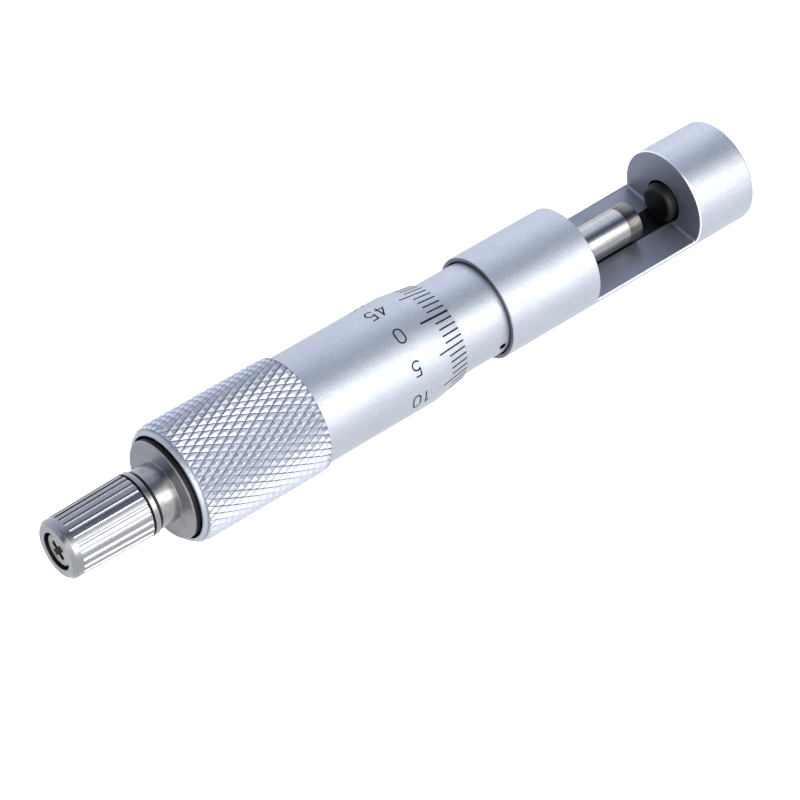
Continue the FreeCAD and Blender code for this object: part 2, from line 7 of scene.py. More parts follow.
import bmesh
import bpy
from bpy.props import FloatProperty, FloatVectorProperty, IntProperty, PointerProperty
from bpy.types import Operator, Panel, PropertyGroup
from mathutils import Matrix, Vector
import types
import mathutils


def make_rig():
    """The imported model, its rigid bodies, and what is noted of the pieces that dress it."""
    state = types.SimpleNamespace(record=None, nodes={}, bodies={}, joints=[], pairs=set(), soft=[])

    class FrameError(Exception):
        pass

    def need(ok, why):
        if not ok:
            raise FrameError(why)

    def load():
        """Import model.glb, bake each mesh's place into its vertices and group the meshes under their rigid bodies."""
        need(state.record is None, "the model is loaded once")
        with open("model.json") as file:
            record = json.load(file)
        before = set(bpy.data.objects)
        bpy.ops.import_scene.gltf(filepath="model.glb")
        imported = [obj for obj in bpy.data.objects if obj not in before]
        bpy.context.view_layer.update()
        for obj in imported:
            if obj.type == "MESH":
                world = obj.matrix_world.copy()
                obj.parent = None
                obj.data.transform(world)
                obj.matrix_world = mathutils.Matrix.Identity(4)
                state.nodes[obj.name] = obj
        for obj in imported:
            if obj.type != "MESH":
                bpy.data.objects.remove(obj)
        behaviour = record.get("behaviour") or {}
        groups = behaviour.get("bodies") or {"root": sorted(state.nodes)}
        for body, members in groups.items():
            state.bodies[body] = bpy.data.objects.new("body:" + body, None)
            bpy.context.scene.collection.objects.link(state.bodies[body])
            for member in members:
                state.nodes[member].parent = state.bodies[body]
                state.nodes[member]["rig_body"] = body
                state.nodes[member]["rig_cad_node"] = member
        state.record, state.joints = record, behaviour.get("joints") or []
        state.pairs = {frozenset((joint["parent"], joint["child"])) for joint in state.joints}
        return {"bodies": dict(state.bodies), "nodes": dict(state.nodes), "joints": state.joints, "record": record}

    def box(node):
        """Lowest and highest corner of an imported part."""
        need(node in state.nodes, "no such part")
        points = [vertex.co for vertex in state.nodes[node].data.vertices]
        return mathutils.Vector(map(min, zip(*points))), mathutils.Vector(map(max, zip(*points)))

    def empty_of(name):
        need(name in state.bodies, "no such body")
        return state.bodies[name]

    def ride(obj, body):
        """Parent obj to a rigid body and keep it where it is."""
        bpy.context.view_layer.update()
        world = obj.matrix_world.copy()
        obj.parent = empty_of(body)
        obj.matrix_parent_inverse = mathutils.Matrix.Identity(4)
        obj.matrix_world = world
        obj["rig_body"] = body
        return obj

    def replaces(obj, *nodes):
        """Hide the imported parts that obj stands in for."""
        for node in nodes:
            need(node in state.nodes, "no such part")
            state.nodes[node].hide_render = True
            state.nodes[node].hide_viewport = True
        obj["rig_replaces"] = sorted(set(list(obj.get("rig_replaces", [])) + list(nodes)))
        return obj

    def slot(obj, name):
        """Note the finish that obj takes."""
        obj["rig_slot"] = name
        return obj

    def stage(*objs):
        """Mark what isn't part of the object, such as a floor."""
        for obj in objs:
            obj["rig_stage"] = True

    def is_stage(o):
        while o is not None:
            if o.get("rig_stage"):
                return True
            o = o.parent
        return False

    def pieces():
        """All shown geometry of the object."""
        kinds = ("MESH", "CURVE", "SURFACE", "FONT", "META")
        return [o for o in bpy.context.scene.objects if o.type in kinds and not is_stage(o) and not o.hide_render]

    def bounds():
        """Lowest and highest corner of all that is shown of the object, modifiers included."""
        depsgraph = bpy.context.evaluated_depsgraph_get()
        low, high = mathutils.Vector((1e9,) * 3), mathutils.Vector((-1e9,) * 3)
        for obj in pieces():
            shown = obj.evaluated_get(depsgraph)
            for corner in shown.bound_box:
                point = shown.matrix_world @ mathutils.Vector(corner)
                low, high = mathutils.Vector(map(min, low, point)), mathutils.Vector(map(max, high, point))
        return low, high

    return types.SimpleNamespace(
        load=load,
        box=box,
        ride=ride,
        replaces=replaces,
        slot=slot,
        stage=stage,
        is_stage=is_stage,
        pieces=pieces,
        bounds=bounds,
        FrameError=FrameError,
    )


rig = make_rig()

bl_info = {
    "name": "Wire Micrometer",
    "version": (1, 0, 0),
    "blender": (4, 5, 0),
    "location": "View3D > Sidebar > Micrometer",
    "description": "Builds the finished pieces of a wire micrometer round its packed part",
    "category": "Object",
}

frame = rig.load()
CAD_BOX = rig.bounds()
MM = 0.001

# Slack of the tests that pick faces and edges by their place
SLACK = 0.01 * MM
HAIR = 0.001 * MM

# A radius under this is a point on the axis
TINY = 1e-9


def length(name, description, default):
    """A distance in metres that a user may change."""
    return FloatProperty(
        name=name, description=description, default=default, subtype="DISTANCE", unit="LENGTH",
        precision=5)


def angle(name, description, degrees):
    """An angle that a user may change."""
    return FloatProperty(
        name=name, description=description, default=math.radians(degrees), subtype="ANGLE",
        unit="ROTATION")


def ratio(name, description, default):
    """A plain factor from 0 to 1."""
    return FloatProperty(name=name, description=description, default=default, min=0.0, max=1.0)


def how_many(name, description, default):
    """How many of something there are."""
    return IntProperty(name=name, description=description, default=default, min=1)


def how_strong(name, description, default):
    """A strength or power that a user may change."""
    return FloatProperty(name=name, description=description, default=default, min=0.0)


def colour(name, description, default):
    """A colour that a user may change."""
    return FloatVectorProperty(
        name=name, description=description, default=default, size=3, subtype="COLOR",
        min=0.0, max=1.0)


class FrameSizes(PropertyGroup):
    """The round bar with its bores and its notch."""

    radius: length("Radius", "Radius of the round bar", 9.0 * MM)
    recess_radius: length("Recess radius", "Bore that the sleeve goes into", 8.32 * MM)
    recess_depth: length("Recess depth", "Depth of that bore", 4.0 * MM)
    bush_radius: length("Bush seat radius", "Bore that holds the threaded bush", 6.0 * MM)
    bush_depth: length("Bush seat depth", "From the rear edge to the end of the seat", 16.0 * MM)
    channel_radius: length("Channel radius", "Bore and groove that the spindle runs in", 3.8 * MM)
    channel_depth: length("Channel depth", "How far the channel goes into the end block", 2.4 * MM)
    notch_start: length("Notch start", "From the rear edge to the notch", 18.6 * MM)
    notch_length: length("Notch length", "Opening of the notch along the axis", 22.0 * MM)
    floor_drop: length("Floor drop", "Notch floor below the axis", 2.95 * MM)
    corner_radius: length("Corner radius", "Rounding between floor and walls", 0.5 * MM)
    rim_chamfer: length("Rim chamfer", "Bright chamfer round the notch's walls", 0.18 * MM)
    edge_break: length("Edge break", "Width of the chamfer on the notch's near edge", 0.3 * MM)
    nose_rounding: length("Nose rounding", "Rounding of the far end", 0.6 * MM)
    edge_chamfer: length("Edge chamfer", "Bright chamfer of the rear rim", 0.13 * MM)


class ThimbleSizes(PropertyGroup):
    """The thimble, its knurl and its scale."""

    lip_radius: length("Lip radius", "Radius at the graduated edge", 8.5 * MM)
    bevel_length: length("Bevel length", "Length of the graduated cone", 5.8 * MM)
    radius: length("Radius", "Radius of the smooth barrel", 9.34 * MM)
    bore_radius: length("Bore radius", "Bore over the sleeve", 8.15 * MM)
    smooth_length: length("Smooth length", "From the edge to the knurl", 28.15 * MM)
    knurl_length: length("Knurl length", "Length of the knurled grip", 23.45 * MM)
    knurl_root: length("Knurl root", "Radius at the bottom of the knurl", 9.48 * MM)
    knurl_height: length("Knurl height", "Height of the diamonds", 0.5 * MM)
    end_height: length("End height", "Height of the end rings and their half diamonds", 0.34 * MM)
    end_ring: length("End ring", "Plain ring at each end of the knurl", 0.26 * MM)
    diamond_flat: ratio("Diamond flat", "Flat top of a diamond as a share of its base", 0.14)
    diamonds_round: how_many("Diamonds round", "Diamonds in one ring", 45)
    diamond_rows: how_many("Diamond rows", "Staggered rings of diamonds", 18)
    recess_radius: length("Recess radius", "Bore round the flange", 8.68 * MM)
    recess_depth: length("Recess depth", "Depth of the rear recess", 3.1 * MM)
    rim_radius: length("Rim radius", "Outer radius of the rear rim", 9.32 * MM)
    rim_rounding: length("Rim rounding", "Rounding of the rear rim", 0.32 * MM)
    web_length: length("Web length", "Length of the web at the connector", 6.5 * MM)
    web_radius: length("Web radius", "Bore of the web at the connector", 5.25 * MM)
    divisions: how_many("Divisions", "Divisions round the edge", 50)
    zero_angle: angle("Zero angle", "Zero line from +Z about +X", 20.7)
    long_line: length("Long line", "Length of each fifth line", 5.4 * MM)
    short_line: length("Short line", "Length of the other lines", 3.5 * MM)
    line_width: length("Line width", "Width of a line", 0.27 * MM)
    zero_width: length("Zero line width", "Width of the zero line", 0.3645 * MM)
    figure_height: length("Figure height", "Height of the figures", 2.5 * MM)
    figure_stroke: length("Figure stroke", "Width of a figure's strokes", 0.27 * MM)
    figure_gap: length("Figure gap", "Space between two figures", 0.55 * MM)
    figure_x: length("Figure place", "From the edge to the middle of a number", 9.98 * MM)


class SleeveSizes(PropertyGroup):
    """The graduated sleeve."""

    radius: length("Radius", "Outer radius", 8.05 * MM)
    bore_radius: length("Bore radius", "Bore over the bush", 7.02 * MM)
    hole_radius: length("Spanner hole", "Radius of the spanner hole", 0.65 * MM)
    hole_x: length("Hole place", "Spanner hole along the axis", -1.3 * MM)
    hole_angle: angle("Hole angle", "Spanner hole from +Z about +X", 99.0)
    zero_x: length("Zero mark", "Zero mark along the axis", -3.37 * MM)
    line_angle: angle("Line angle", "Index line from +Z about +X", 272.7)
    line_width: length("Line width", "Width of a line", 0.16 * MM)
    mark_length: length("Mark length", "Length of a millimetre mark", 1.7 * MM)
    long_mark: length("Long mark", "Length of each fifth millimetre mark", 2.295 * MM)
    scale_length: length("Scale length", "Length of the main scale", 10.0 * MM)
    overhang: length("Overhang", "Index line in front of the zero mark", 0.9 * MM)
    figure_height: length("Figure height", "Height of the figures", 2.0 * MM)
    figure_stroke: length("Figure stroke", "Width of a figure's strokes", 0.2 * MM)
    figure_gap: length("Figure gap", "Space between two figures", 0.3 * MM)
    figure_space: length("Figure space", "From the long marks to the figures", 0.4 * MM)


class SpindleSizes(PropertyGroup):
    """The spindle, its tip and the anvil."""

    radius: length("Radius", "Radius of spindle and tip", 3.25 * MM)
    screw_radius: length("Screw radius", "Radius of the screw", 3.5 * MM)
    screw_front: length("Screw front", "Front end of the screw along the axis", -25.0 * MM)
    tail_radius: length("Tail radius", "Radius of the tail in the thimble", 2.9 * MM)
    tail_length: length("Tail length", "Length of that tail", 7.5 * MM)
    anvil_radius: length("Anvil radius", "Radius of the anvil", 3.4 * MM)
    edge_rounding: length("Edge rounding", "Broken edge of the tip", 0.12 * MM)
    anvil_rounding: length("Anvil rounding", "Rounded edge of the anvil", 0.9 * MM)


class KnobSizes(PropertyGroup):
    """The ratchet axle, knob and screw."""

    flange_radius: length("Flange radius", "Radius of the flange disc", 8.34 * MM)
    flange_thickness: length("Flange thickness", "Thickness of the disc", 3.3 * MM)
    flange_chamfer: length("Flange chamfer", "Chamfer of the disc", 0.2 * MM)
    neck_radius: length("Neck radius", "Radius of the neck", 4.95 * MM)
    neck_length: length("Neck length", "Length of the neck", 3.75 * MM)
    neck_shade: length("Neck shade", "Dark ring where the neck meets the knob", 0.36 * MM)
    journal_radius: length("Journal radius", "Journal that the knob turns on", 4.25 * MM)
    journal_length: length("Journal length", "Length of the journal", 1.55 * MM)
    axle_radius: length("Axle radius", "Radius of the thin axle", 2.2 * MM)
    stud_radius: length("Stud radius", "Stud in the spindle", 2.0 * MM)
    stud_length: length("Stud length", "Length of the stud", 6.0 * MM)
    collar_radius: length("Collar radius", "Radius of the plain collar", 5.28 * MM)
    collar_length: length("Collar length", "Length of the collar", 0.9 * MM)
    undercut_radius: length("Undercut radius", "Radius behind the collar", 4.9 * MM)
    undercut_length: length("Undercut length", "Length of the undercut", 0.35 * MM)
    front_radius: length("Front radius", "Radius at the collar end", 5.25 * MM)
    nose_radius: length("Nose radius", "Radius at the nose", 4.92 * MM)
    nose_rounding: length("Nose rounding", "Rounding of the nose", 0.8 * MM)
    bore_radius: length("Bore radius", "Bore for the ratchet", 4.2 * MM)
    hole_radius: length("Hole radius", "Hole round the screw head", 3.13 * MM)
    hole_depth: length("Hole depth", "Depth of that hole", 3.6 * MM)
    flutes: how_many("Flutes", "Flutes round the knob", 24)
    flute_radius: length("Flute radius", "Radius of a flute's section", 0.30 * MM)
    flute_depth: length("Flute depth", "Depth of a flute", 0.28 * MM)
    flute_margin: length("Flute margin", "From the flutes' ends to the nose", 1.6 * MM)
    head_radius: length("Screw head radius", "Radius of the screw head", 2.8 * MM)
    head_height: length("Screw head height", "Height of the screw head", 1.9 * MM)
    head_rounding: length("Screw head rounding", "Rounding of the head", 0.35 * MM)
    shank_radius: length("Shank radius", "Radius of the screw shank", 1.25 * MM)
    shank_depth: length("Shank depth", "Depth of the screw hole in the axle", 7.0 * MM)
    cross_turn: angle("Cross turn", "Turn of the cross about the axis", 35.0)
    cross_span: length("Cross span", "Length of one arm of the cross", 3.9 * MM)
    cross_width: length("Cross width", "Width of an arm", 1.15 * MM)
    cross_depth: length("Cross depth", "Depth of the cross", 1.1 * MM)


class FinishColours(PropertyGroup):
    """Colours of the metals and the ink, and of the metals that paint shade and highlights."""

    satin_chrome: colour("Satin chrome", "Frame, sleeve and thimble", (0.64, 0.668, 0.715))
    # Machined finish of the notch's faces, darkened further as painted shade inside the notch
    machined_face: colour("Machined face", "Faces of the notch", (0.32, 0.335, 0.38))
    # Painted highlight on the chamfers round the notch
    bright_edge: colour("Bright edge", "Chamfer round the notch", (0.94, 0.95, 0.97))
    # Painted shade on the frame's rear end face
    rim_face: colour("Rim face", "Rear rim of the frame", (0.20, 0.21, 0.24))
    knurl_chrome: colour("Knurl chrome", "Knurled grip", (0.68, 0.70, 0.76))
    # Painted shade in the knurl's grooves
    knurl_valley: colour("Knurl valley", "Grooves of the knurl", (0.17, 0.18, 0.21))
    # Painted shade: near-black for channels, bores, recesses, holes and gaps
    dark_bore: colour("Dark bore", "Channel and bores out of the light", (0.028, 0.028, 0.031))
    ground_steel: colour("Ground steel", "Spindle", (0.385, 0.38, 0.375))
    carbide_tip: colour("Carbide tip", "Tip of the spindle", (0.13, 0.125, 0.115))
    # The anvil's own dark carbide, also used as painted shade on the neck's ring and in the screw's cross
    anvil_black: colour("Anvil", "Dark carbide of the anvil", (0.035, 0.034, 0.034))
    bright_steel: colour("Bright steel", "Knob", (0.36, 0.36, 0.365))
    # Painted shade and painted highlight on the two sides of each flute
    flute_wall: colour("Flute wall", "Shaded sides of the flutes", (0.05, 0.05, 0.055))
    flute_light: colour("Flute light", "Bright sides of the flutes", (0.92, 0.925, 0.935))
    neck_steel: colour("Neck steel", "Neck behind the knob", (0.37, 0.365, 0.36))
    flange_steel: colour("Flange steel", "Flange disc", (0.30, 0.294, 0.305))
    screw_steel: colour("Screw steel", "Screw in the knob", (0.42, 0.40, 0.375))
    inner_steel: colour("Inner steel", "Inner parts", (0.48, 0.48, 0.50))
    ink: colour("Ink", "Lines and figures", (0.004, 0.004, 0.005))


class StageSettings(PropertyGroup):
    """Camera, floor and lamps."""

    camera_place: FloatVectorProperty(
        name="Camera place", description="Where the camera stands", size=3,
        subtype="TRANSLATION", unit="LENGTH", default=(-0.2483, -0.2559, 0.3680))
    camera_right: FloatVectorProperty(
        name="Camera right", description="Direction of the picture's right side", size=3,
        default=(0.76855, -0.63846, 0.0413))
    camera_ahead: FloatVectorProperty(
        name="Camera ahead", description="Direction that the camera looks in", size=3,
        default=(0.45366, 0.49829, -0.73885))
    lens: FloatProperty(name="Lens", description="Focal length in millimetres", default=144.5)
    floor_size: length("Floor size", "Side of the floor", 3.0)
    floor_colour: colour("Floor colour", "Colour of the floor", (0.72, 0.725, 0.74))
    floor_glow: how_strong("Floor glow", "Light that the floor adds where it is seen", 0.8)
    floor_echo: ratio("Floor echo", "Share of that glow that metal reflects", 0.45)
    world_strength: how_strong("World strength", "Level of the surroundings", 1.65)
    side_power: how_strong("Side lamp", "Power of the side lamp in watts", 2.5)
    back_power: how_strong("Back lamp", "Power of the back lamp in watts", 0.04)


GROUPS = {
    "wire_frame": FrameSizes,
    "wire_thimble": ThimbleSizes,
    "wire_sleeve": SleeveSizes,
    "wire_spindle": SpindleSizes,
    "wire_knob": KnobSizes,
    "wire_finish": FinishColours,
    "wire_stage": StageSettings,
}


def polar(x, radius, turn):
    """A point at a radius from the axis; turn is in radians from +Z about +X."""
    return Vector((x, -radius * math.sin(turn), radius * math.cos(turn)))


def from_axis(point):
    """Distance from the spindle axis."""
    return math.hypot(point.y, point.z)


def soften(corners, steps=4):
    """An outline of (x, radius) points from (x, radius, rounding) corners."""
    points = []
    count = len(corners)
    for index, (x, radius, rounding) in enumerate(corners):
        here = Vector((x, radius))
        if rounding <= 0:
            points.append(here)
            continue
        before = Vector(corners[index - 1][:2]) - here
        after = Vector(corners[(index + 1) % count][:2]) - here
        half = before.angle(after) / 2
        reach = rounding / math.tan(half)
        start = here + before.normalized() * reach
        end = here + after.normalized() * reach
        bisector = (before.normalized() + after.normalized()).normalized()
        centre = here + bisector * (rounding / math.sin(half))
        first = math.atan2(start.y - centre.y, start.x - centre.x)
        last = math.atan2(end.y - centre.y, end.x - centre.x)
        bend = (last - first + math.pi) % (2 * math.pi) - math.pi
        for step in range(steps + 1):
            turn = first + bend * step / steps
            points.append(centre + rounding * Vector((math.cos(turn), math.sin(turn))))
    return points


def finish_mesh(bm, name, sharp_degrees=35):
    """A shaded mesh object from a bmesh, with its faces outwards."""
    bmesh.ops.remove_doubles(bm, verts=bm.verts, dist=1e-8)
    bmesh.ops.recalc_face_normals(bm, faces=bm.faces)
    mesh = bpy.data.meshes.new(name)
    bm.to_mesh(mesh)
    bm.free()
    for polygon in mesh.polygons:
        polygon.use_smooth = True
    mesh.set_sharp_from_angle(angle=math.radians(sharp_degrees))
    piece = bpy.data.objects.new(name, mesh)
    bpy.context.scene.collection.objects.link(piece)
    return piece


def join_rings(bm, near, far, segments):
    """Faces between two rings of points, either of which may be a single point."""
    for k in range(segments):
        after = (k + 1) % segments
        corners = (
            near[k % len(near)], near[after % len(near)], far[after % len(far)], far[k % len(far)])
        unique = list(dict.fromkeys(corners))
        if len(unique) > 2:
            bm.faces.new(unique)


def turn_outline(bm, outline, segments):
    """Turns a closed outline of (x, radius) points about the axis into a bmesh."""
    rings = []
    for x, radius in outline:
        if radius < TINY:
            rings.append([bm.verts.new((x, 0, 0))])
            continue
        ring = [bm.verts.new(polar(x, radius, 2 * math.pi * k / segments)) for k in range(segments)]
        rings.append(ring)
    for ring, following in zip(rings, rings[1:] + rings[:1]):
        join_rings(bm, ring, following, segments)


def turned(name, corners, segments=180, steps=4):
    """A turned piece from (x, radius, rounding) corners."""
    bm = bmesh.new()
    turn_outline(bm, soften(corners, steps), segments)
    return finish_mesh(bm, name)


def cut(piece, cutter):
    """Takes the cutter away from the piece and removes the cutter."""
    modifier = piece.modifiers.new("cut", "BOOLEAN")
    modifier.object = cutter
    modifier.operation = "DIFFERENCE"
    modifier.solver = "EXACT"
    apply_modifiers(piece)
    bpy.data.objects.remove(cutter)


def apply_modifiers(piece):
    """Replaces the piece's mesh by its evaluated mesh."""
    bpy.context.view_layer.update()
    evaluated = piece.evaluated_get(bpy.context.evaluated_depsgraph_get())
    mesh = bpy.data.meshes.new_from_object(evaluated)
    piece.modifiers.clear()
    piece.data = mesh
    mesh.name = piece.name


def reshade(piece, sharp_degrees=35):
    """Smooth shading with sharp edges after a cut."""
    piece.data.shade_smooth()
    piece.data.set_sharp_from_angle(angle=math.radians(sharp_degrees))


def seat(piece, body, material, slot, *nodes):
    """Gives a piece its material, its body and the nodes that it stands for."""
    piece.data.materials.clear()
    piece.data.materials.append(material)
    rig.ride(piece, body)
    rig.slot(piece, slot)
    if nodes:
        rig.replaces(piece, *nodes)
    return piece


def paint(piece, material, wanted):
    """Gives another material to the faces whose middle and normal pass the test."""
    piece.data.materials.append(material)
    index = len(piece.data.materials) - 1
    for polygon in piece.data.polygons:
        if wanted(polygon.center, polygon.normal):
            polygon.material_index = index


def new_socket(group, name, direction, kind, default=None):
    """One named socket on a node group."""
    socket = group.interface.new_socket(name=name, in_out=direction, socket_type=kind)
    if default is not None:
        socket.default_value = default
    return socket


def place(tree, kind, column, row, **values):
    """A node at a grid place with its plain properties set."""
    node = tree.nodes.new(kind)
    node.location = (column * 190, row * -170)
    for name, value in values.items():
        setattr(node, name, value)
    return node


def maths(tree, operation, column, row, *inputs):
    """A Math node fed by sockets or plain numbers."""
    node = place(tree, "ShaderNodeMath", column, row, operation=operation)
    for index, value in enumerate(inputs):
        if isinstance(value, (int, float)):
            node.inputs[index].default_value = value
        else:
            tree.links.new(value, node.inputs[index])
    return node.outputs[0]


def group_ends(group):
    """The input and output nodes of a group."""
    return place(group, "NodeGroupInput", -6, 0), place(group, "NodeGroupOutput", 8, 0)


# Scale of the coarse grain against the fine one's, and the gain that brings the mask to about 1
COARSE_GRAIN = 0.22
MASK_GAIN = 4.0

# How much a tool mark wanders across the piece, and how softly a stain's edge fades
LINE_WANDER = 0.012
STAIN_FADE = 0.2


def speckle_group():
    """Fine blasted grain: a height for bump and a mask for roughness."""
    group = bpy.data.node_groups.new("Satin grain", "ShaderNodeTree")
    new_socket(group, "Grain size", "INPUT", "NodeSocketFloat", 0.00012)
    new_socket(group, "Height", "OUTPUT", "NodeSocketFloat")
    new_socket(group, "Mask", "OUTPUT", "NodeSocketFloat")
    ends = group_ends(group)
    where = place(group, "ShaderNodeTexCoord", -6, 2)
    pitch = maths(group, "DIVIDE", -4, 1, 1.0, ends[0].outputs["Grain size"])
    fine = place(group, "ShaderNodeTexNoise", -2, 0)
    fine.inputs["Detail"].default_value = 3.0
    fine.inputs["Roughness"].default_value = 0.65
    coarse = place(group, "ShaderNodeTexNoise", -2, 3)
    coarse.inputs["Detail"].default_value = 2.0
    coarse_pitch = maths(group, "MULTIPLY", -4, 3, pitch, COARSE_GRAIN)
    for texture in (fine, coarse):
        group.links.new(where.outputs["Object"], texture.inputs["Vector"])
    group.links.new(pitch, fine.inputs["Scale"])
    group.links.new(coarse_pitch, coarse.inputs["Scale"])
    both = maths(group, "MULTIPLY", 2, 1, fine.outputs["Fac"], coarse.outputs["Fac"])
    group.links.new(fine.outputs["Fac"], ends[1].inputs["Height"])
    group.links.new(maths(group, "MULTIPLY", 4, 1, both, MASK_GAIN), ends[1].inputs["Mask"])
    return group


def turned_group():
    """Fine tool marks that run round the axis."""
    group = bpy.data.node_groups.new("Turned lines", "ShaderNodeTree")
    new_socket(group, "Line pitch", "INPUT", "NodeSocketFloat", 0.00008)
    new_socket(group, "Lines", "OUTPUT", "NodeSocketFloat")
    ends = group_ends(group)
    where = place(group, "ShaderNodeTexCoord", -6, 2)
    parts = place(group, "ShaderNodeSeparateXYZ", -4, 2)
    group.links.new(where.outputs["Object"], parts.inputs[0])
    y_squared = maths(group, "POWER", -3, 3, parts.outputs["Y"], 2.0)
    z_squared = maths(group, "POWER", -3, 4, parts.outputs["Z"], 2.0)
    radius = maths(group, "SQRT", -1, 3, maths(group, "ADD", -2, 3, y_squared, z_squared))
    across = place(group, "ShaderNodeCombineXYZ", 0, 2)
    group.links.new(parts.outputs["X"], across.inputs["X"])
    group.links.new(radius, across.inputs["Y"])
    wander = maths(group, "MULTIPLY", -1, 5, parts.outputs["Y"], LINE_WANDER)
    group.links.new(wander, across.inputs["Z"])
    lines = place(group, "ShaderNodeTexNoise", 2, 2)
    lines.inputs["Detail"].default_value = 2.0
    group.links.new(across.outputs[0], lines.inputs["Vector"])
    pitch = maths(group, "DIVIDE", 1, 0, 1.0, ends[0].outputs["Line pitch"])
    group.links.new(pitch, lines.inputs["Scale"])
    group.links.new(lines.outputs["Fac"], ends[1].inputs["Lines"])
    return group


def stain_group():
    """Soft stains: a mask that rises where a noise passes the threshold."""
    group = bpy.data.node_groups.new("Stains", "ShaderNodeTree")
    new_socket(group, "Stain size", "INPUT", "NodeSocketFloat", 0.004)
    new_socket(group, "Threshold", "INPUT", "NodeSocketFloat", 0.5)
    new_socket(group, "Stain", "OUTPUT", "NodeSocketFloat")
    ends = group_ends(group)
    where = place(group, "ShaderNodeTexCoord", -6, 2)
    cloud = place(group, "ShaderNodeTexNoise", -2, 0)
    cloud.inputs["Detail"].default_value = 5.0
    cloud.inputs["Roughness"].default_value = 0.6
    group.links.new(where.outputs["Object"], cloud.inputs["Vector"])
    scale = maths(group, "DIVIDE", -4, 0, 1.0, ends[0].outputs["Stain size"])
    group.links.new(scale, cloud.inputs["Scale"])
    soft = place(group, "ShaderNodeMapRange", 2, 0, interpolation_type="SMOOTHSTEP")
    group.links.new(cloud.outputs["Fac"], soft.inputs["Value"])
    group.links.new(ends[0].outputs["Threshold"], soft.inputs["From Min"])
    top = maths(group, "ADD", 0, 2, ends[0].outputs["Threshold"], STAIN_FADE)
    group.links.new(top, soft.inputs["From Max"])
    group.links.new(soft.outputs["Result"], ends[1].inputs["Stain"])
    return group


def group_node(tree, column, row, name, maker):
    """A node of a shader group that is built once and shared."""
    group = bpy.data.node_groups.get(name) or maker()
    return place(tree, "ShaderNodeGroup", column, row, node_tree=group)


# Level of the noise at which a stain begins, and how much rougher a stain is
STAIN_THRESHOLD = 0.48
STAIN_ROUGHNESS = 0.12

# What a dark grain and a tool mark multiply the colour by
GRAIN_SHADE = (0.3, 0.3, 0.32, 1)
LINE_SHADE = (0.25, 0.25, 0.25, 1)


def shaded(tree, column, row, colour_from, amount, tone):
    """A colour multiplied by a tone where the amount is high."""
    node = place(tree, "ShaderNodeMix", column, row, data_type="RGBA", blend_type="MULTIPLY")
    node.inputs["B"].default_value = tone
    tree.links.new(colour_from, node.inputs["A"])
    tree.links.new(amount, node.inputs["Factor"])
    return node.outputs["Result"]


def metal(name, base, rough, grain=0.00012, grain_depth=0.000004, line_pitch=0.0,
          line_depth=0.000002, stain=0.0, stain_colour=(0.2, 0.19, 0.18), stain_size=0.004,
          rough_spread=0.08, line_tone=0.0, grain_tone=0.0):
    """A metal with grain, tool marks and stains in its colour, roughness and bump."""
    name += "_finish"
    if name in bpy.data.materials:
        return bpy.data.materials[name]
    material = bpy.data.materials.new(name)
    material.use_nodes = True
    tree = material.node_tree
    shader = tree.nodes["Principled BSDF"]
    shader.inputs["Metallic"].default_value = 1.0
    speckle = group_node(tree, -8, 0, "Satin grain", speckle_group)
    speckle.inputs["Grain size"].default_value = grain
    stains = group_node(tree, -8, 2, "Stains", stain_group)
    stains.inputs["Stain size"].default_value = stain_size
    stains.inputs["Threshold"].default_value = STAIN_THRESHOLD
    shader.inputs["Base Color"].default_value = (*base, 1)
    amount = maths(tree, "MULTIPLY", -5, 2, stains.outputs["Stain"], stain)
    shade = None
    if stain:
        tint = place(tree, "ShaderNodeMix", -3, 0, data_type="RGBA", blend_type="MIX")
        tint.inputs["A"].default_value = (*base, 1)
        tint.inputs["B"].default_value = (*stain_colour, 1)
        tree.links.new(amount, tint.inputs["Factor"])
        shade = tint.outputs["Result"]
    if shade and grain_tone:
        dots = maths(tree, "MULTIPLY", -5, 3, speckle.outputs["Height"], grain_tone)
        shade = shaded(tree, -2, 1, shade, dots, GRAIN_SHADE)
    height = maths(tree, "MULTIPLY", -4, 4, speckle.outputs["Height"], grain_depth)
    smoothest = rough - rough_spread / 2
    spread = maths(tree, "MULTIPLY_ADD", -4, 1, speckle.outputs["Mask"], rough_spread, smoothest)
    if line_pitch:
        lines = group_node(tree, -8, 4, "Turned lines", turned_group)
        lines.inputs["Line pitch"].default_value = line_pitch
        marks = maths(tree, "MULTIPLY", -6, 5, lines.outputs["Lines"], line_depth)
        height = maths(tree, "ADD", -3, 5, height, marks)
        if shade and line_tone:
            dark = maths(tree, "MULTIPLY", -5, 6, lines.outputs["Lines"], line_tone)
            shade = shaded(tree, -2, 0, shade, dark, LINE_SHADE)
    bump = place(tree, "ShaderNodeBump", -1, 4)
    bump.inputs["Strength"].default_value = 1.0
    bump.inputs["Distance"].default_value = 1.0
    tree.links.new(height, bump.inputs["Height"])
    if shade:
        tree.links.new(shade, shader.inputs["Base Color"])
    stained = maths(tree, "MULTIPLY", -3, 3, amount, STAIN_ROUGHNESS)
    tree.links.new(maths(tree, "ADD", -2, 2, spread, stained), shader.inputs["Roughness"])
    tree.links.new(bump.outputs["Normal"], shader.inputs["Normal"])
    return material


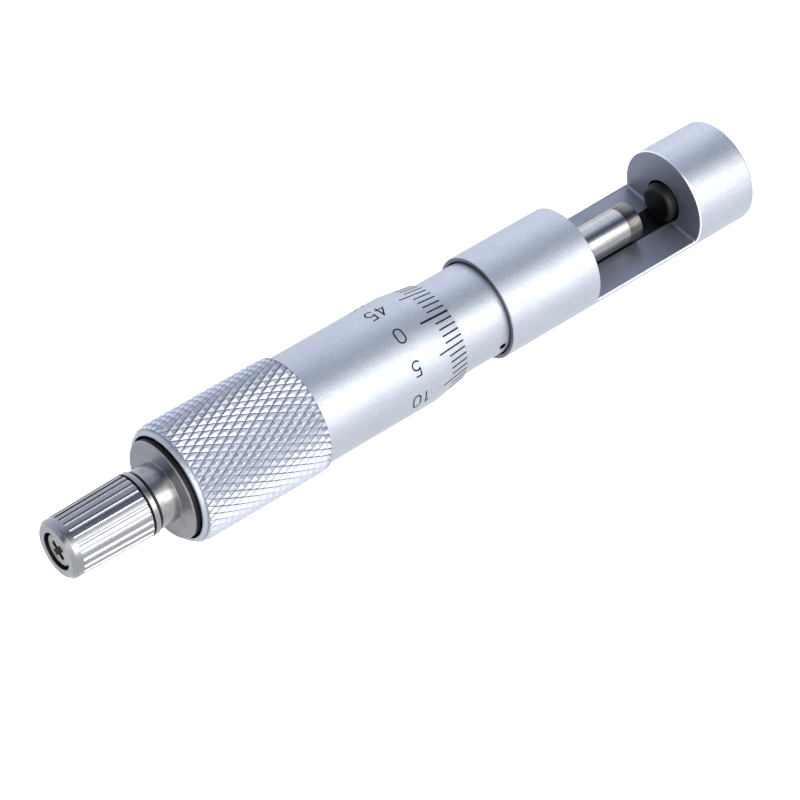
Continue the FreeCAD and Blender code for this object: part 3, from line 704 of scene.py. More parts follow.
FINISHES = {
    "satin_chrome": dict(
        rough=0.41, grain=0.00026, grain_depth=0.000058, grain_tone=0.6, stain=0.10,
        stain_colour=(0.42, 0.42, 0.46), stain_size=0.006),
    "knurl_chrome": dict(
        rough=0.38, grain=0.00022, grain_depth=0.000012, grain_tone=0.3, stain=0.15,
        stain_colour=(0.35, 0.35, 0.40), stain_size=0.003),
    "knurl_valley": dict(rough=0.5, grain=0.0002, grain_depth=0.000006),
    "bright_edge": dict(rough=0.26, grain=0.0002, grain_depth=0.000004),
    "machined_face": dict(
        rough=0.46, grain=0.0002, grain_depth=0.000010, grain_tone=0.2, stain=0.2,
        stain_colour=(0.22, 0.22, 0.26), stain_size=0.005),
    "rim_face": dict(
        rough=0.42, grain=0.0002, grain_depth=0.000006, stain=0.2,
        stain_colour=(0.16, 0.16, 0.18), stain_size=0.003),
    "dark_bore": dict(rough=0.45, grain=0.0002, grain_depth=0.000004),
    "ground_steel": dict(
        rough=0.10, rough_spread=0.04, grain=0.0002, grain_depth=0.0000003, stain=0.12,
        line_pitch=0.00022, line_depth=0.0000003, line_tone=0.5),
    "carbide_tip": dict(
        rough=0.11, rough_spread=0.04, grain=0.0002, grain_depth=0.0000003, stain=0.3,
        stain_colour=(0.11, 0.10, 0.09), stain_size=0.0015, line_pitch=0.00016,
        line_depth=0.0000003, line_tone=0.3),
    "anvil_black": dict(
        rough=0.40, grain=0.0002, grain_depth=0.000002, stain=0.3,
        stain_colour=(0.06, 0.055, 0.05), stain_size=0.0012),
    "bright_steel": dict(
        rough=0.18, rough_spread=0.05, grain=0.00025, grain_depth=0.000001, stain=0.15,
        line_pitch=0.0002, line_depth=0.0000008, line_tone=0.25),
    "flute_wall": dict(rough=0.3, grain=0.00025, grain_depth=0.000001),
    "flute_light": dict(rough=0.5, grain=0.00025, grain_depth=0.000001),
    "neck_steel": dict(
        rough=0.17, grain=0.00018, grain_depth=0.000003, stain=0.55,
        stain_colour=(0.22, 0.21, 0.20), stain_size=0.0016, line_pitch=0.00018,
        line_depth=0.000003, line_tone=0.15),
    "flange_steel": dict(
        rough=0.28, grain=0.00018, grain_depth=0.000005, stain=0.5,
        stain_colour=(0.22, 0.20, 0.20), stain_size=0.003, line_pitch=0.00014,
        line_depth=0.000002),
    "screw_steel": dict(
        rough=0.34, grain=0.0003, grain_depth=0.000016, stain=0.75,
        stain_colour=(0.10, 0.09, 0.075), stain_size=0.0008),
    "inner_steel": dict(
        rough=0.34, grain=0.00015, grain_depth=0.000003, stain=0.15, line_pitch=0.0001,
        line_depth=0.000003),
}


def finish(kind):
    """One of the object's finishes by its name."""
    return metal(kind, getattr(bpy.context.scene.wire_finish, kind), **FINISHES[kind])


WORN_INK = (0.012, 0.012, 0.013, 1)


def ink():
    """Matt black paint in the engraved lines, a little paler where it is worn."""
    if "engraving_ink" in bpy.data.materials:
        return bpy.data.materials["engraving_ink"]
    material = bpy.data.materials.new("engraving_ink")
    material.use_nodes = True
    tree = material.node_tree
    shader = tree.nodes["Principled BSDF"]
    speckle = group_node(tree, -6, 0, "Satin grain", speckle_group)
    speckle.inputs["Grain size"].default_value = 0.0001
    tint = place(tree, "ShaderNodeMix", -3, 0, data_type="RGBA")
    tint.inputs["A"].default_value = (*bpy.context.scene.wire_finish.ink, 1)
    tint.inputs["B"].default_value = WORN_INK
    tree.links.new(speckle.outputs["Mask"], tint.inputs["Factor"])
    tree.links.new(tint.outputs["Result"], shader.inputs["Base Color"])
    rough = maths(tree, "MULTIPLY_ADD", -3, 2, speckle.outputs["Mask"], 0.1, 0.6)
    tree.links.new(rough, shader.inputs["Roughness"])
    shader.inputs["Specular IOR Level"].default_value = 0.15
    return material


def prism(name, outline, half_width):
    """A closed block from an (x, z) outline, drawn out along Y."""
    bm = bmesh.new()
    near = [bm.verts.new((x, -half_width, z)) for x, z in outline]
    far = [bm.verts.new((x, half_width, z)) for x, z in outline]
    bm.faces.new(near)
    bm.faces.new(list(reversed(far)))
    for index in range(len(outline)):
        following = (index + 1) % len(outline)
        bm.faces.new((near[index], far[index], far[following], near[following]))
    return finish_mesh(bm, name)


def bevel_rim(piece, wanted, width):
    """A flat bevel on the edges of a piece that the test picks."""
    bm = bmesh.new()
    bm.from_mesh(piece.data)
    edges = [edge for edge in bm.edges if len(edge.link_faces) == 2 and wanted(edge)]
    bmesh.ops.bevel(
        bm, geom=edges, offset=width, offset_type="OFFSET", segments=1, profile=0.5,
        affect="EDGES", clamp_overlap=False)
    bm.to_mesh(piece.data)
    bm.free()
    reshade(piece, 20)


def build_frame(sizes):
    """Round bar with its bores, notch and fine chamfers."""
    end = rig.box("frame")[1].x
    anvil_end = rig.box("anvil")[1].x
    anvil_radius = bpy.context.scene.wire_spindle.anvil_radius
    notch_end = sizes.notch_start + sizes.notch_length
    channel_end = notch_end + sizes.channel_depth
    bar = turned("frame_bar", [
        (0, sizes.recess_radius, 0),
        (0, sizes.radius - sizes.edge_chamfer, 0),
        (sizes.edge_chamfer, sizes.radius, 0),
        (sizes.notch_start - sizes.corner_radius, sizes.radius, 0),
        (notch_end + sizes.corner_radius, sizes.radius, 0),
        (end, sizes.radius, sizes.nose_rounding),
        (end, 0, 0),
        (anvil_end, 0, 0),
        (anvil_end, anvil_radius, 0),
        (channel_end, anvil_radius, 0),
        (channel_end, sizes.channel_radius, 0),
        (sizes.bush_depth, sizes.channel_radius, 0),
        (sizes.bush_depth, sizes.bush_radius, 0),
        (sizes.recess_depth, sizes.bush_radius, 0),
        (sizes.recess_depth, sizes.recess_radius, 0),
    ], segments=256, steps=6)
    top = 2 * sizes.radius
    outline = soften([
        (sizes.notch_start, top, 0),
        (sizes.notch_start, -sizes.floor_drop, sizes.corner_radius),
        (notch_end, -sizes.floor_drop, sizes.corner_radius),
        (notch_end, top, 0),
    ], steps=6)
    cut(bar, prism("notch", outline, top))

    # A knife turned halfway between floor and bar breaks the near edge of the notch's floor
    edge_turn = math.acos(-sizes.floor_drop / sizes.radius) / 2
    edge_y = sizes.edge_break - math.sqrt(sizes.radius ** 2 - sizes.floor_drop ** 2)
    knife_size = 2 * MM
    knife = prism("floor_edge", [
        (sizes.notch_start + sizes.corner_radius, knife_size),
        (sizes.notch_start + sizes.corner_radius, 0),
        (notch_end, 0),
        (notch_end, knife_size),
    ], knife_size)
    knife_place = Matrix.Translation((0, edge_y, -sizes.floor_drop))
    knife.data.transform(knife_place @ Matrix.Rotation(edge_turn, 4, "X"))
    cut(bar, knife)

    def beside_notch(x):
        return sizes.notch_start - SLACK < x < notch_end + SLACK

    def on_rim(edge):
        first, second = (vert.co for vert in edge.verts)
        outside = min(from_axis(first), from_axis(second)) > sizes.radius - HAIR
        straight = abs(first.z - second.z) < HAIR
        sharp = edge.calc_face_angle(0) > 0.3
        return outside and beside_notch(first.x) and beside_notch(second.x) and sharp and not straight

    bevel_rim(bar, on_rim, sizes.rim_chamfer)
    seat(bar, "frame", finish("satin_chrome"), "satin_chrome", "frame")

    def in_notch(middle, normal):
        flat = abs(normal.z) + abs(normal.x) > 0.99
        below_rim = from_axis(middle) < sizes.radius - sizes.rim_chamfer
        return beside_notch(middle.x) and flat and below_rim

    def in_channel(middle, normal):
        inside = sizes.notch_start - SLACK < middle.x < channel_end + SLACK
        in_block = middle.x > notch_end + 10 * SLACK
        wall = abs(normal.x) < 0.5 and abs(normal.z) < 0.9999
        bottom = middle.z < 5 * SLACK - sizes.channel_radius
        bored = wall or in_block or bottom
        return inside and bored and from_axis(middle) < sizes.channel_radius + SLACK

    def on_chamfer(middle, normal):
        inside = sizes.notch_start - SLACK < middle.x < notch_end + sizes.rim_chamfer
        near_rim = sizes.radius - sizes.edge_break < from_axis(middle) < sizes.radius - SLACK
        outward = (middle.y * normal.y + middle.z * normal.z) / from_axis(middle)
        slanted = outward < 0.97 and abs(normal.x) < 0.97 and abs(normal.z) < 0.99
        return inside and near_rim and slanted

    def in_recess(middle, normal):
        inside = SLACK < middle.x < sizes.recess_depth + SLACK
        return inside and from_axis(middle) < sizes.recess_radius + SLACK

    # Painted highlight: a near-white metal on the chamfers round the notch
    paint(bar, finish("bright_edge"), on_chamfer)
    # The notch's flat faces take their machined finish, darkened further as painted shade inside the notch
    paint(bar, finish("machined_face"), in_notch)
    # Painted shade: near-black in the spindle's channel and its bore in the end block
    paint(bar, finish("dark_bore"), in_channel)
    # Painted shade: a darker metal on the frame's rear end face
    paint(bar, finish("rim_face"), lambda middle, normal: normal.x < -0.99 and middle.x < SLACK)
    # Painted shade: near-black in the rear recess
    paint(bar, finish("dark_bore"), in_recess)
    return bar


def build_anvil(sizes):
    """Dark carbide pin with a flat face and a fine rounded edge."""
    low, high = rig.box("anvil")
    pin = turned("anvil_pin", [
        (low.x, 0, 0),
        (low.x, sizes.anvil_radius, sizes.anvil_rounding),
        (high.x, sizes.anvil_radius, 0),
        (high.x, 0, 0),
    ], segments=128)
    return seat(pin, "frame", finish("anvil_black"), "carbide", "anvil")


def build_spindle(sizes):
    """Ground spindle with its screw and tail."""
    low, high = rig.box("spindle")
    tail_front = low.x + sizes.tail_length
    spindle = turned("spindle_rod", [
        (high.x, 0, 0),
        (high.x, sizes.radius, 0.03 * MM),
        (sizes.screw_front, sizes.radius, 0),
        (sizes.screw_front, sizes.screw_radius, 0),
        (tail_front, sizes.screw_radius, 0),
        (tail_front, sizes.tail_radius, 0),
        (low.x, sizes.tail_radius, 0),
        (low.x, 0, 0),
    ], segments=160)
    return seat(spindle, "thimble", finish("ground_steel"), "ground_steel", "spindle")


def build_tip(sizes):
    """Carbide tip of the spindle."""
    joint = 0.02 * MM
    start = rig.box("spindle")[1].x + joint
    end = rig.box("spindle_tip")[1].x
    tip = turned("spindle_tip_face", [
        (start, 0, 0),
        (start, sizes.radius, 0.03 * MM),
        (end, sizes.radius, sizes.edge_rounding),
        (end, 0, 0),
    ], segments=160)
    return seat(tip, "spindle_tip", finish("carbide_tip"), "carbide", "spindle_tip")


# A figure's width as a share of its height, and how far the ink stands out and goes in
FIGURE_WIDTH = 0.56
INK_PROUD = 0.006 * MM
INK_DEPTH = 0.02 * MM

# Greatest distance between two points of a stroke, as a share of the figure's height
STROKE_STEP = 0.1


def arc_points(u, v, radius, first, last, steps=16):
    """Points along an arc, angles in degrees."""
    points = []
    for step in range(steps + 1):
        turn = math.radians(first + (last - first) * step / steps)
        points.append(Vector((u + radius * math.cos(turn), v + radius * math.sin(turn))))
    return points


def figure_lines(figure):
    """The strokes of one figure of height 1: lists of points and whether each is closed."""
    if figure == "0":
        half = FIGURE_WIDTH / 2
        top = arc_points(half, 1 - half, half, 0, 180)
        bottom = arc_points(half, half, half, 180, 360)
        return [(top + bottom, True)]
    if figure == "1":
        return [([Vector((0.12, 0.78)), Vector((0.34, 1.0)), Vector((0.34, 0.0))], False)]
    if figure == "2":
        bend = arc_points(0.28, 0.73, 0.27, 172, -38)
        return [(bend + [Vector((0.02, 0.0)), Vector((0.57, 0.0))], False)]
    if figure == "3":
        upper = arc_points(0.27, 0.755, 0.245, 158, -90)
        lower = arc_points(0.27, 0.255, 0.255, 90, -158)
        return [(upper, False), (lower, False)]
    if figure == "4":
        bar = [Vector((0.0, 0.28)), Vector((0.58, 0.28))]
        return [([Vector((0.41, 0.0)), Vector((0.41, 1.0))] + bar, False)]
    hook = arc_points(0.27, 0.30, 0.30, 128, -150)
    return [([Vector((0.52, 1.0)), Vector((0.10, 1.0)), Vector((0.07, 0.5))] + hook[1:], False)]


def ribbon(line, closed, width):
    """The two sides of a stroke of even width, mitred at its bends."""
    left, right = [], []
    count = len(line)
    for index, here in enumerate(line):
        before = line[index - 1] if index or closed else None
        after = line[(index + 1) % count] if index < count - 1 or closed else None
        headings = []
        if before is not None:
            headings.append((here - before).normalized())
        if after is not None:
            headings.append((after - here).normalized())
        heading = sum(headings, Vector((0, 0))).normalized()
        stretch = 1 / max(0.5, heading.dot(headings[0]))
        across = Vector((-heading.y, heading.x)) * (width / 2 * stretch)
        left.append(here + across)
        right.append(here - across)
    return left, right


def stroke_faces(bm, line, closed, width, lay):
    """Adds one inlaid stroke; lay puts a flat point at its top (1) or its bottom (-1)."""
    edges = ribbon(line, closed, width)
    levels = []
    for side in (1, -1):
        levels.append([[bm.verts.new(lay(point, side)) for point in edge] for edge in edges])
    top, bottom = levels
    count = len(line)
    for index in range(count if closed else count - 1):
        after = (index + 1) % count
        bm.faces.new((top[0][index], top[1][index], top[1][after], top[0][after]))
        bm.faces.new((bottom[0][index], bottom[0][after], bottom[1][after], bottom[1][index]))
        bm.faces.new((top[0][index], top[0][after], bottom[0][after], bottom[0][index]))
        bm.faces.new((top[1][index], bottom[1][index], bottom[1][after], top[1][after]))
    if not closed:
        for index in (0, count - 1):
            bm.faces.new((top[0][index], bottom[0][index], bottom[1][index], top[1][index]))


def finer(line, closed):
    """The same line with points close enough to follow the surface."""
    points = []
    count = len(line)
    for index in range(count if closed else count - 1):
        here = line[index]
        ahead = line[(index + 1) % count] - here
        if ahead.length < 1e-6:
            continue
        parts = max(1, math.ceil(ahead.length / STROKE_STEP))
        points += [here + ahead * part / parts for part in range(parts)]
    if not closed:
        points.append(line[-1])
    return points


def figures(bm, value, middle_x, middle_turn, radius, sizes):
    """A number wound on a cylinder, read from the anvil end towards the knob."""
    text = str(value)
    height = sizes.figure_height
    advance = FIGURE_WIDTH * height + sizes.figure_gap
    first_x = middle_x + (len(text) - 1) * advance / 2
    for index, figure in enumerate(text):
        figure_x = first_x - index * advance
        for line, closed in figure_lines(figure):

            def lay(point, side, figure_x=figure_x):
                x = figure_x - (point.x - FIGURE_WIDTH / 2) * height
                turn = middle_turn + (point.y - 0.5) * height / radius
                return polar(x, radius + (INK_PROUD if side > 0 else -INK_DEPTH), turn)

            stroke_faces(bm, finer(line, closed), closed, sizes.figure_stroke / height, lay)


RING_INPUTS = (
    ("Count round", "NodeSocketInt", 45),
    ("Rows", "NodeSocketInt", 1),
    ("Row step", "NodeSocketFloat", 0.001),
    ("First angle", "NodeSocketFloat", 0.0),
    ("Stagger", "NodeSocketFloat", 0.0),
    ("Material", "NodeSocketMaterial", None),
)


def ring_tree():
    """Copies of one piece in rings about the X axis, every second ring turned by the stagger."""
    tree = bpy.data.node_groups.get("Rings of copies")
    if tree:
        return tree
    tree = bpy.data.node_groups.new("Rings of copies", "GeometryNodeTree")
    tree.is_modifier = True
    new_socket(tree, "Unit", "INPUT", "NodeSocketGeometry")
    for name, kind, default in RING_INPUTS:
        new_socket(tree, name, "INPUT", kind, default)
    new_socket(tree, "Copies", "OUTPUT", "NodeSocketGeometry")
    start, end = group_ends(tree)
    count = start.outputs["Count round"]
    total = maths(tree, "MULTIPLY", -4, 0, count, start.outputs["Rows"])
    index = place(tree, "GeometryNodeInputIndex", -5, 3).outputs[0]
    middle = maths(tree, "ADD", -5, 4, index, 0.5)
    row = maths(tree, "FLOOR", -3, 3, maths(tree, "DIVIDE", -4, 3, middle, count))
    column = maths(tree, "SUBTRACT", -2, 4, index, maths(tree, "MULTIPLY", -3, 4, row, count))
    around = maths(tree, "DIVIDE", -1, 4, maths(tree, "MULTIPLY", -2, 5, column, 2 * math.pi), count)
    odd_row = maths(tree, "MODULO", -2, 6, row, 2.0)
    stagger = maths(tree, "MULTIPLY", -1, 5, odd_row, start.outputs["Stagger"])
    staggered = maths(tree, "ADD", 0, 4, around, stagger)
    turn = maths(tree, "ADD", 1, 4, staggered, start.outputs["First angle"])
    step = maths(tree, "MULTIPLY", -1, 2, row, start.outputs["Row step"])
    where = place(tree, "ShaderNodeCombineXYZ", 0, 2)
    tree.links.new(step, where.inputs["X"])
    facing = place(tree, "ShaderNodeCombineXYZ", 2, 4)
    tree.links.new(turn, facing.inputs["X"])
    points = place(tree, "GeometryNodePoints", 1, 1)
    tree.links.new(total, points.inputs["Count"])
    tree.links.new(where.outputs[0], points.inputs["Position"])
    copies = place(tree, "GeometryNodeInstanceOnPoints", 3, 1)
    tree.links.new(points.outputs[0], copies.inputs["Points"])
    tree.links.new(start.outputs["Unit"], copies.inputs["Instance"])
    tree.links.new(facing.outputs[0], copies.inputs["Rotation"])
    real = place(tree, "GeometryNodeRealizeInstances", 5, 1)
    tree.links.new(copies.outputs[0], real.inputs[0])
    coated = place(tree, "GeometryNodeSetMaterial", 6, 1)
    tree.links.new(real.outputs[0], coated.inputs["Geometry"])
    tree.links.new(start.outputs["Material"], coated.inputs["Material"])
    tree.links.new(coated.outputs[0], end.inputs["Copies"])
    return tree


def rings(piece, material, count, rows=1, step=0.0, first=0.0, stagger=0.0):
    """Turns a unit piece into rings of copies of itself."""
    modifier = piece.modifiers.new("rings", "NODES")
    modifier.node_group = ring_tree()
    values = {
        "Count round": count,
        "Rows": rows,
        "Row step": step,
        "First angle": first,
        "Stagger": stagger,
        "Material": material,
    }
    for item in modifier.node_group.interface.items_tree:
        if item.in_out == "INPUT" and item.name in values:
            modifier[item.identifier] = values[item.name]
    piece.update_tag()
    apply_modifiers(piece)
    return piece


def merge(name, *pieces):
    """One piece from several that share a material."""
    bm = bmesh.new()
    for piece in pieces:
        bm.from_mesh(piece.data)
        bpy.data.objects.remove(piece)
    return finish_mesh(bm, name)


# Where a diamond's slope gets flatter: its breadth and height as shares of the whole
SHOULDER_BREADTH = 0.91
SHOULDER_HEIGHT = 0.28

# Height up to which the knurl's grooves get painted shade, as a share of the diamonds' height
VALLEY_HEIGHT = 0.2


def diamond(name, low_x, high_x, half_length, half_angle, root, height, flat):
    """One knurl diamond about x = 0, kept between two places along the axis."""
    bm = bmesh.new()

    def ring(share, radius):
        corners = []
        for along, around in ((1, 0), (0, 1), (-1, 0), (0, -1)):
            x = min(max(along * half_length * share, low_x), high_x)
            corners.append(bm.verts.new(polar(x, radius, around * half_angle * share)))
        return corners

    shoulder = ring(SHOULDER_BREADTH, root + SHOULDER_HEIGHT * height)
    levels = [ring(1.0, root), shoulder, ring(flat, root + height)]
    bm.faces.new(list(reversed(levels[0])))
    bm.faces.new(levels[-1])
    for below, above in zip(levels, levels[1:]):
        for index in range(4):
            after = (index + 1) % 4
            bm.faces.new((below[index], below[after], above[after], above[index]))
    bmesh.ops.dissolve_degenerate(bm, dist=1e-7, edges=bm.edges)
    return finish_mesh(bm, name, sharp_degrees=20)


def build_knurl(sizes):
    """Staggered rings of pointed diamonds, with half diamonds along both ends of the grip."""
    material = finish("knurl_chrome")
    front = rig.box("thimble")[1].x - sizes.smooth_length
    step = sizes.knurl_length / sizes.diamond_rows
    half_angle = math.pi / sizes.diamonds_round
    sunk = 0.03 * MM
    root = sizes.knurl_root - sunk
    height = sizes.knurl_height + sunk
    end_height = sizes.end_height + sunk
    values = (step, half_angle, root)
    first = half_angle / 2
    number = sizes.diamonds_round
    middle = diamond("diamonds", -step, step, *values, height, sizes.diamond_flat)
    rings(middle, material, number, sizes.diamond_rows - 1, -step, first, half_angle)
    middle_place = Matrix.Translation((front - step, 0, 0))
    middle.data.transform(middle_place @ Matrix.Rotation(half_angle, 4, "X"))
    front_ring = diamond("front_ring", -step, 0, *values, end_height, sizes.diamond_flat)
    rings(front_ring, material, number, first=first)
    front_ring.data.transform(Matrix.Translation((front, 0, 0)))
    rear_ring = diamond("rear_ring", 0, step, *values, end_height, sizes.diamond_flat)
    rings(rear_ring, material, number, first=first)
    rear_ring.data.transform(Matrix.Translation((front - sizes.knurl_length, 0, 0)))
    knurl = merge("thimble_knurl", middle, front_ring, rear_ring)
    reshade(knurl, 12)
    seat(knurl, "thimble", material, "satin_chrome")
    valley_top = sizes.knurl_root + VALLEY_HEIGHT * sizes.knurl_height
    # Painted shade on the low, steep walls of the knurl's grooves
    paint(knurl, finish("knurl_valley"), lambda middle, normal: (
        from_axis(middle) < valley_top and abs(normal.x) < 0.95))
    return knurl


def build_thimble(sizes):
    """Thimble barrel with its bevelled edge, web, rear recess and rounded rim."""
    low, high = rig.box("thimble")
    front = high.x
    bevel_rear = front - sizes.bevel_length
    knurl_front = front - sizes.smooth_length
    knurl_rear = knurl_front - sizes.knurl_length
    web_rear = low.x + sizes.recess_depth
    web_front = web_rear + sizes.web_length
    ring_radius = sizes.knurl_root + sizes.end_height
    edge = 0.04 * MM
    barrel = turned("thimble_barrel", [
        (front, sizes.bore_radius, 0),
        (front, sizes.lip_radius, edge),
        (bevel_rear, sizes.radius, 0),
        (knurl_front, sizes.radius, 0),
        (knurl_front, ring_radius, edge),
        (knurl_front - sizes.end_ring, ring_radius, edge),
        (knurl_front - sizes.end_ring, sizes.knurl_root, 0),
        (knurl_rear, sizes.knurl_root, 0),
        (knurl_rear, sizes.rim_radius, 0),
        (low.x, sizes.rim_radius, sizes.rim_rounding),
        (low.x, sizes.recess_radius, 0.12 * MM),
        (web_rear, sizes.recess_radius, 0),
        (web_rear, sizes.web_radius, 0),
        (web_front, sizes.web_radius, 0),
        (web_front, sizes.bore_radius, 0),
    ], segments=256, steps=6)
    seat(barrel, "thimble", finish("satin_chrome"), "satin_chrome", "thimble")

    def in_recess(middle, normal):
        inside = low.x + 10 * SLACK < middle.x < web_rear + SLACK
        return inside and from_axis(middle) < sizes.recess_radius + SLACK

    # Painted shade: near-black inside the rear recess
    paint(barrel, finish("dark_bore"), in_recess)
    return barrel


def engraved_line(bm, start, end, width, turn=0.0):
    """One painted line along a cylinder or cone between two (x, radius) places."""
    rows = []
    for x, radius in (start, end):
        half = width / 2 / radius
        row = []
        for side in (-1, 0, 1):
            row.append(bm.verts.new(polar(x, radius + INK_PROUD, turn + side * half)))
        for side in (1, -1):
            row.append(bm.verts.new(polar(x, radius - INK_DEPTH, turn + side * half)))
        rows.append(row)
    near, far = rows
    for index in range(5):
        after = (index + 1) % 5
        bm.faces.new((near[index], near[after], far[after], far[index]))
    bm.faces.new(near)
    bm.faces.new(list(reversed(far)))


def engraved_arc(bm, x, radius, start, end, width, parts=4):
    """One painted line that runs round a cylinder between two angles."""
    edges = []
    for height in (INK_PROUD, -INK_DEPTH):
        for edge_x in (x - width / 2, x + width / 2):
            turns = [start + (end - start) * part / parts for part in range(parts + 1)]
            edges.append([bm.verts.new(polar(edge_x, radius + height, turn)) for turn in turns])
    top_rear, top_front, low_rear, low_front = edges
    sides = (
        (top_rear, top_front), (low_front, low_rear), (low_rear, top_rear), (top_front, low_front))
    for near, far in sides:
        for part in range(parts):
            bm.faces.new((near[part], near[part + 1], far[part + 1], far[part]))
    for part in (0, parts):
        bm.faces.new((top_rear[part], top_front[part], low_front[part], low_rear[part]))


# Divisions from one figure to the next, and the gap between the lines and the thimble's edge
FIGURE_EVERY = 5
EDGE_GAP = 0.05 * MM


def cone_radius(sizes, distance):
    """Thimble radius at a distance behind its front edge."""
    rise = sizes.radius - sizes.lip_radius
    return sizes.lip_radius + rise * min(1.0, distance / sizes.bevel_length)


def build_scale(sizes):
    """Graduation lines and figures of the thimble."""
    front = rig.box("thimble")[1].x
    start = (front - EDGE_GAP, cone_radius(sizes, EDGE_GAP))
    long_lines = sizes.divisions // FIGURE_EVERY
    kinds = (
        ("short_lines", sizes.short_line, sizes.line_width, sizes.divisions),
        ("long_lines", sizes.long_line, sizes.line_width, long_lines),
        ("zero_line", sizes.bevel_length, sizes.zero_width, 1),
    )
    pieces = []
    for name, reach, width, number in kinds:
        bm = bmesh.new()
        engraved_line(bm, start, (front - reach, cone_radius(sizes, reach)), width)
        pieces.append(rings(finish_mesh(bm, name), ink(), number, first=sizes.zero_angle))
    bm = bmesh.new()
    for value in range(0, sizes.divisions, FIGURE_EVERY):
        turn = sizes.zero_angle + value * 2 * math.pi / sizes.divisions
        figures(bm, value, front - sizes.figure_x, turn, sizes.radius, sizes)
    pieces.append(finish_mesh(bm, "figures"))
    scale = merge("thimble_scale", *pieces)
    return seat(scale, "thimble", ink(), "satin_chrome")


def rod(name, start, end, radius, segments=48):
    """A plain round rod between two points."""
    bm = bmesh.new()
    along = end - start
    bmesh.ops.create_cone(
        bm, cap_ends=True, segments=segments, radius1=radius, radius2=radius, depth=along.length)
    turn = along.to_track_quat("Z", "Y").to_matrix().to_4x4()
    bmesh.ops.transform(bm, verts=bm.verts, matrix=Matrix.Translation((start + end) / 2) @ turn)
    return finish_mesh(bm, name)


def build_sleeve(sizes):
    """Graduated sleeve with its spanner hole."""
    low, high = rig.box("graduated_sleeve")
    edge = 0.05 * MM
    sleeve = turned("sleeve_tube", [
        (low.x, sizes.bore_radius, 0),
        (low.x, sizes.radius, edge),
        (high.x, sizes.radius, edge),
        (high.x, sizes.bore_radius, 0),
    ], segments=256)
    inside = polar(sizes.hole_x, sizes.bore_radius * 0.8, sizes.hole_angle)
    outside = polar(sizes.hole_x, sizes.radius * 1.2, sizes.hole_angle)
    cut(sleeve, rod("spanner_hole", inside, outside, sizes.hole_radius))
    reshade(sleeve)
    seat(sleeve, "sleeve", finish("satin_chrome"), "satin_chrome", "graduated_sleeve")
    outward = polar(0, 1, sizes.hole_angle)

    def in_hole(middle, normal):
        across = abs(normal.dot(outward)) < 0.3
        near = abs(middle.x - sizes.hole_x) < sizes.hole_radius
        right_side = middle.dot(outward) > sizes.bore_radius * 0.9
        in_wall = sizes.bore_radius < from_axis(middle) < sizes.radius - edge
        return across and near and right_side and in_wall

    # Painted shade: near-black on the walls of the spanner hole
    paint(sleeve, finish("dark_bore"), in_hole)
    return sleeve


def build_main_scale(sizes):
    """Index line, millimetre and half-millimetre marks and figures of the sleeve."""
    bm = bmesh.new()
    radius = sizes.radius
    ahead = (sizes.zero_x + sizes.overhang, radius)
    behind = (sizes.zero_x - sizes.scale_length, radius)
    engraved_line(bm, ahead, behind, sizes.line_width, sizes.line_angle)
    millimetres = round(sizes.scale_length / MM)
    for half_step in range(2 * millimetres + 1):
        side = 1 if half_step % 2 == 0 else -1
        reach = sizes.long_mark if half_step % (2 * FIGURE_EVERY) == 0 else sizes.mark_length
        engraved_arc(
            bm, sizes.zero_x - half_step * MM / 2, radius, sizes.line_angle,
            sizes.line_angle + side * reach / radius, sizes.line_width)
    figure_reach = sizes.long_mark + sizes.figure_space + sizes.figure_height / 2
    figure_turn = sizes.line_angle + figure_reach / radius
    for value in range(0, millimetres + 1, FIGURE_EVERY):
        figures(bm, value, sizes.zero_x - value * MM, figure_turn, radius, sizes)
    marks = finish_mesh(bm, "sleeve_scale")
    return seat(marks, "sleeve", ink(), "satin_chrome")


# Gap between the journal and the knob that turns on it
JOURNAL_GAP = 0.1 * MM


def build_axle(sizes):
    """Stud, flange disc, neck, journal and thin axle."""
    low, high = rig.box("ratchet_axle")
    front = high.x - sizes.stud_length
    flange_rear = front - sizes.flange_thickness
    neck_rear = flange_rear - sizes.neck_length
    journal_rear = neck_rear - sizes.journal_length
    journal_radius = sizes.journal_radius - JOURNAL_GAP
    axle = turned("ratchet_axle_turned", [
        (high.x, 0, 0),
        (high.x, sizes.stud_radius, 0.2 * MM),
        (front, sizes.stud_radius, 0),
        (front, sizes.flange_radius, 0.1 * MM),
        (flange_rear + sizes.flange_chamfer, sizes.flange_radius, 0.03 * MM),
        (flange_rear, sizes.flange_radius - sizes.flange_chamfer, 0.03 * MM),
        (flange_rear, sizes.neck_radius, 0.08 * MM),
        (neck_rear + sizes.neck_shade, sizes.neck_radius, 0),
        (neck_rear, sizes.neck_radius, 0.06 * MM),
        (neck_rear, journal_radius, 0),
        (journal_rear, journal_radius, 0),
        (journal_rear, sizes.axle_radius, 0),
        (low.x, sizes.axle_radius, 0),
        (low.x, sizes.shank_radius, 0),
        (low.x + sizes.shank_depth, sizes.shank_radius, 0),
        (low.x + sizes.shank_depth, 0, 0),
    ], segments=192)
    seat(axle, "thimble", finish("neck_steel"), "polished_steel", "ratchet_axle")

    def on_flange(middle, normal):
        return flange_rear - HAIR < middle.x < front and from_axis(middle) > sizes.neck_radius

    def on_flange_edge(middle, normal):
        inside = flange_rear + sizes.flange_chamfer + 4 * SLACK < middle.x < front
        return inside and from_axis(middle) > sizes.flange_radius - 5 * SLACK

    paint(axle, finish("flange_steel"), on_flange)
    # Painted shade: the anvil's dark metal on the neck's ring next to the knob
    paint(axle, finish("anvil_black"), lambda middle, normal: middle.x < neck_rear + sizes.neck_shade)
    # Painted shade: near-black on the flange's edge, seen through the gap to the thimble
    paint(axle, finish("dark_bore"), on_flange_edge)
    return axle


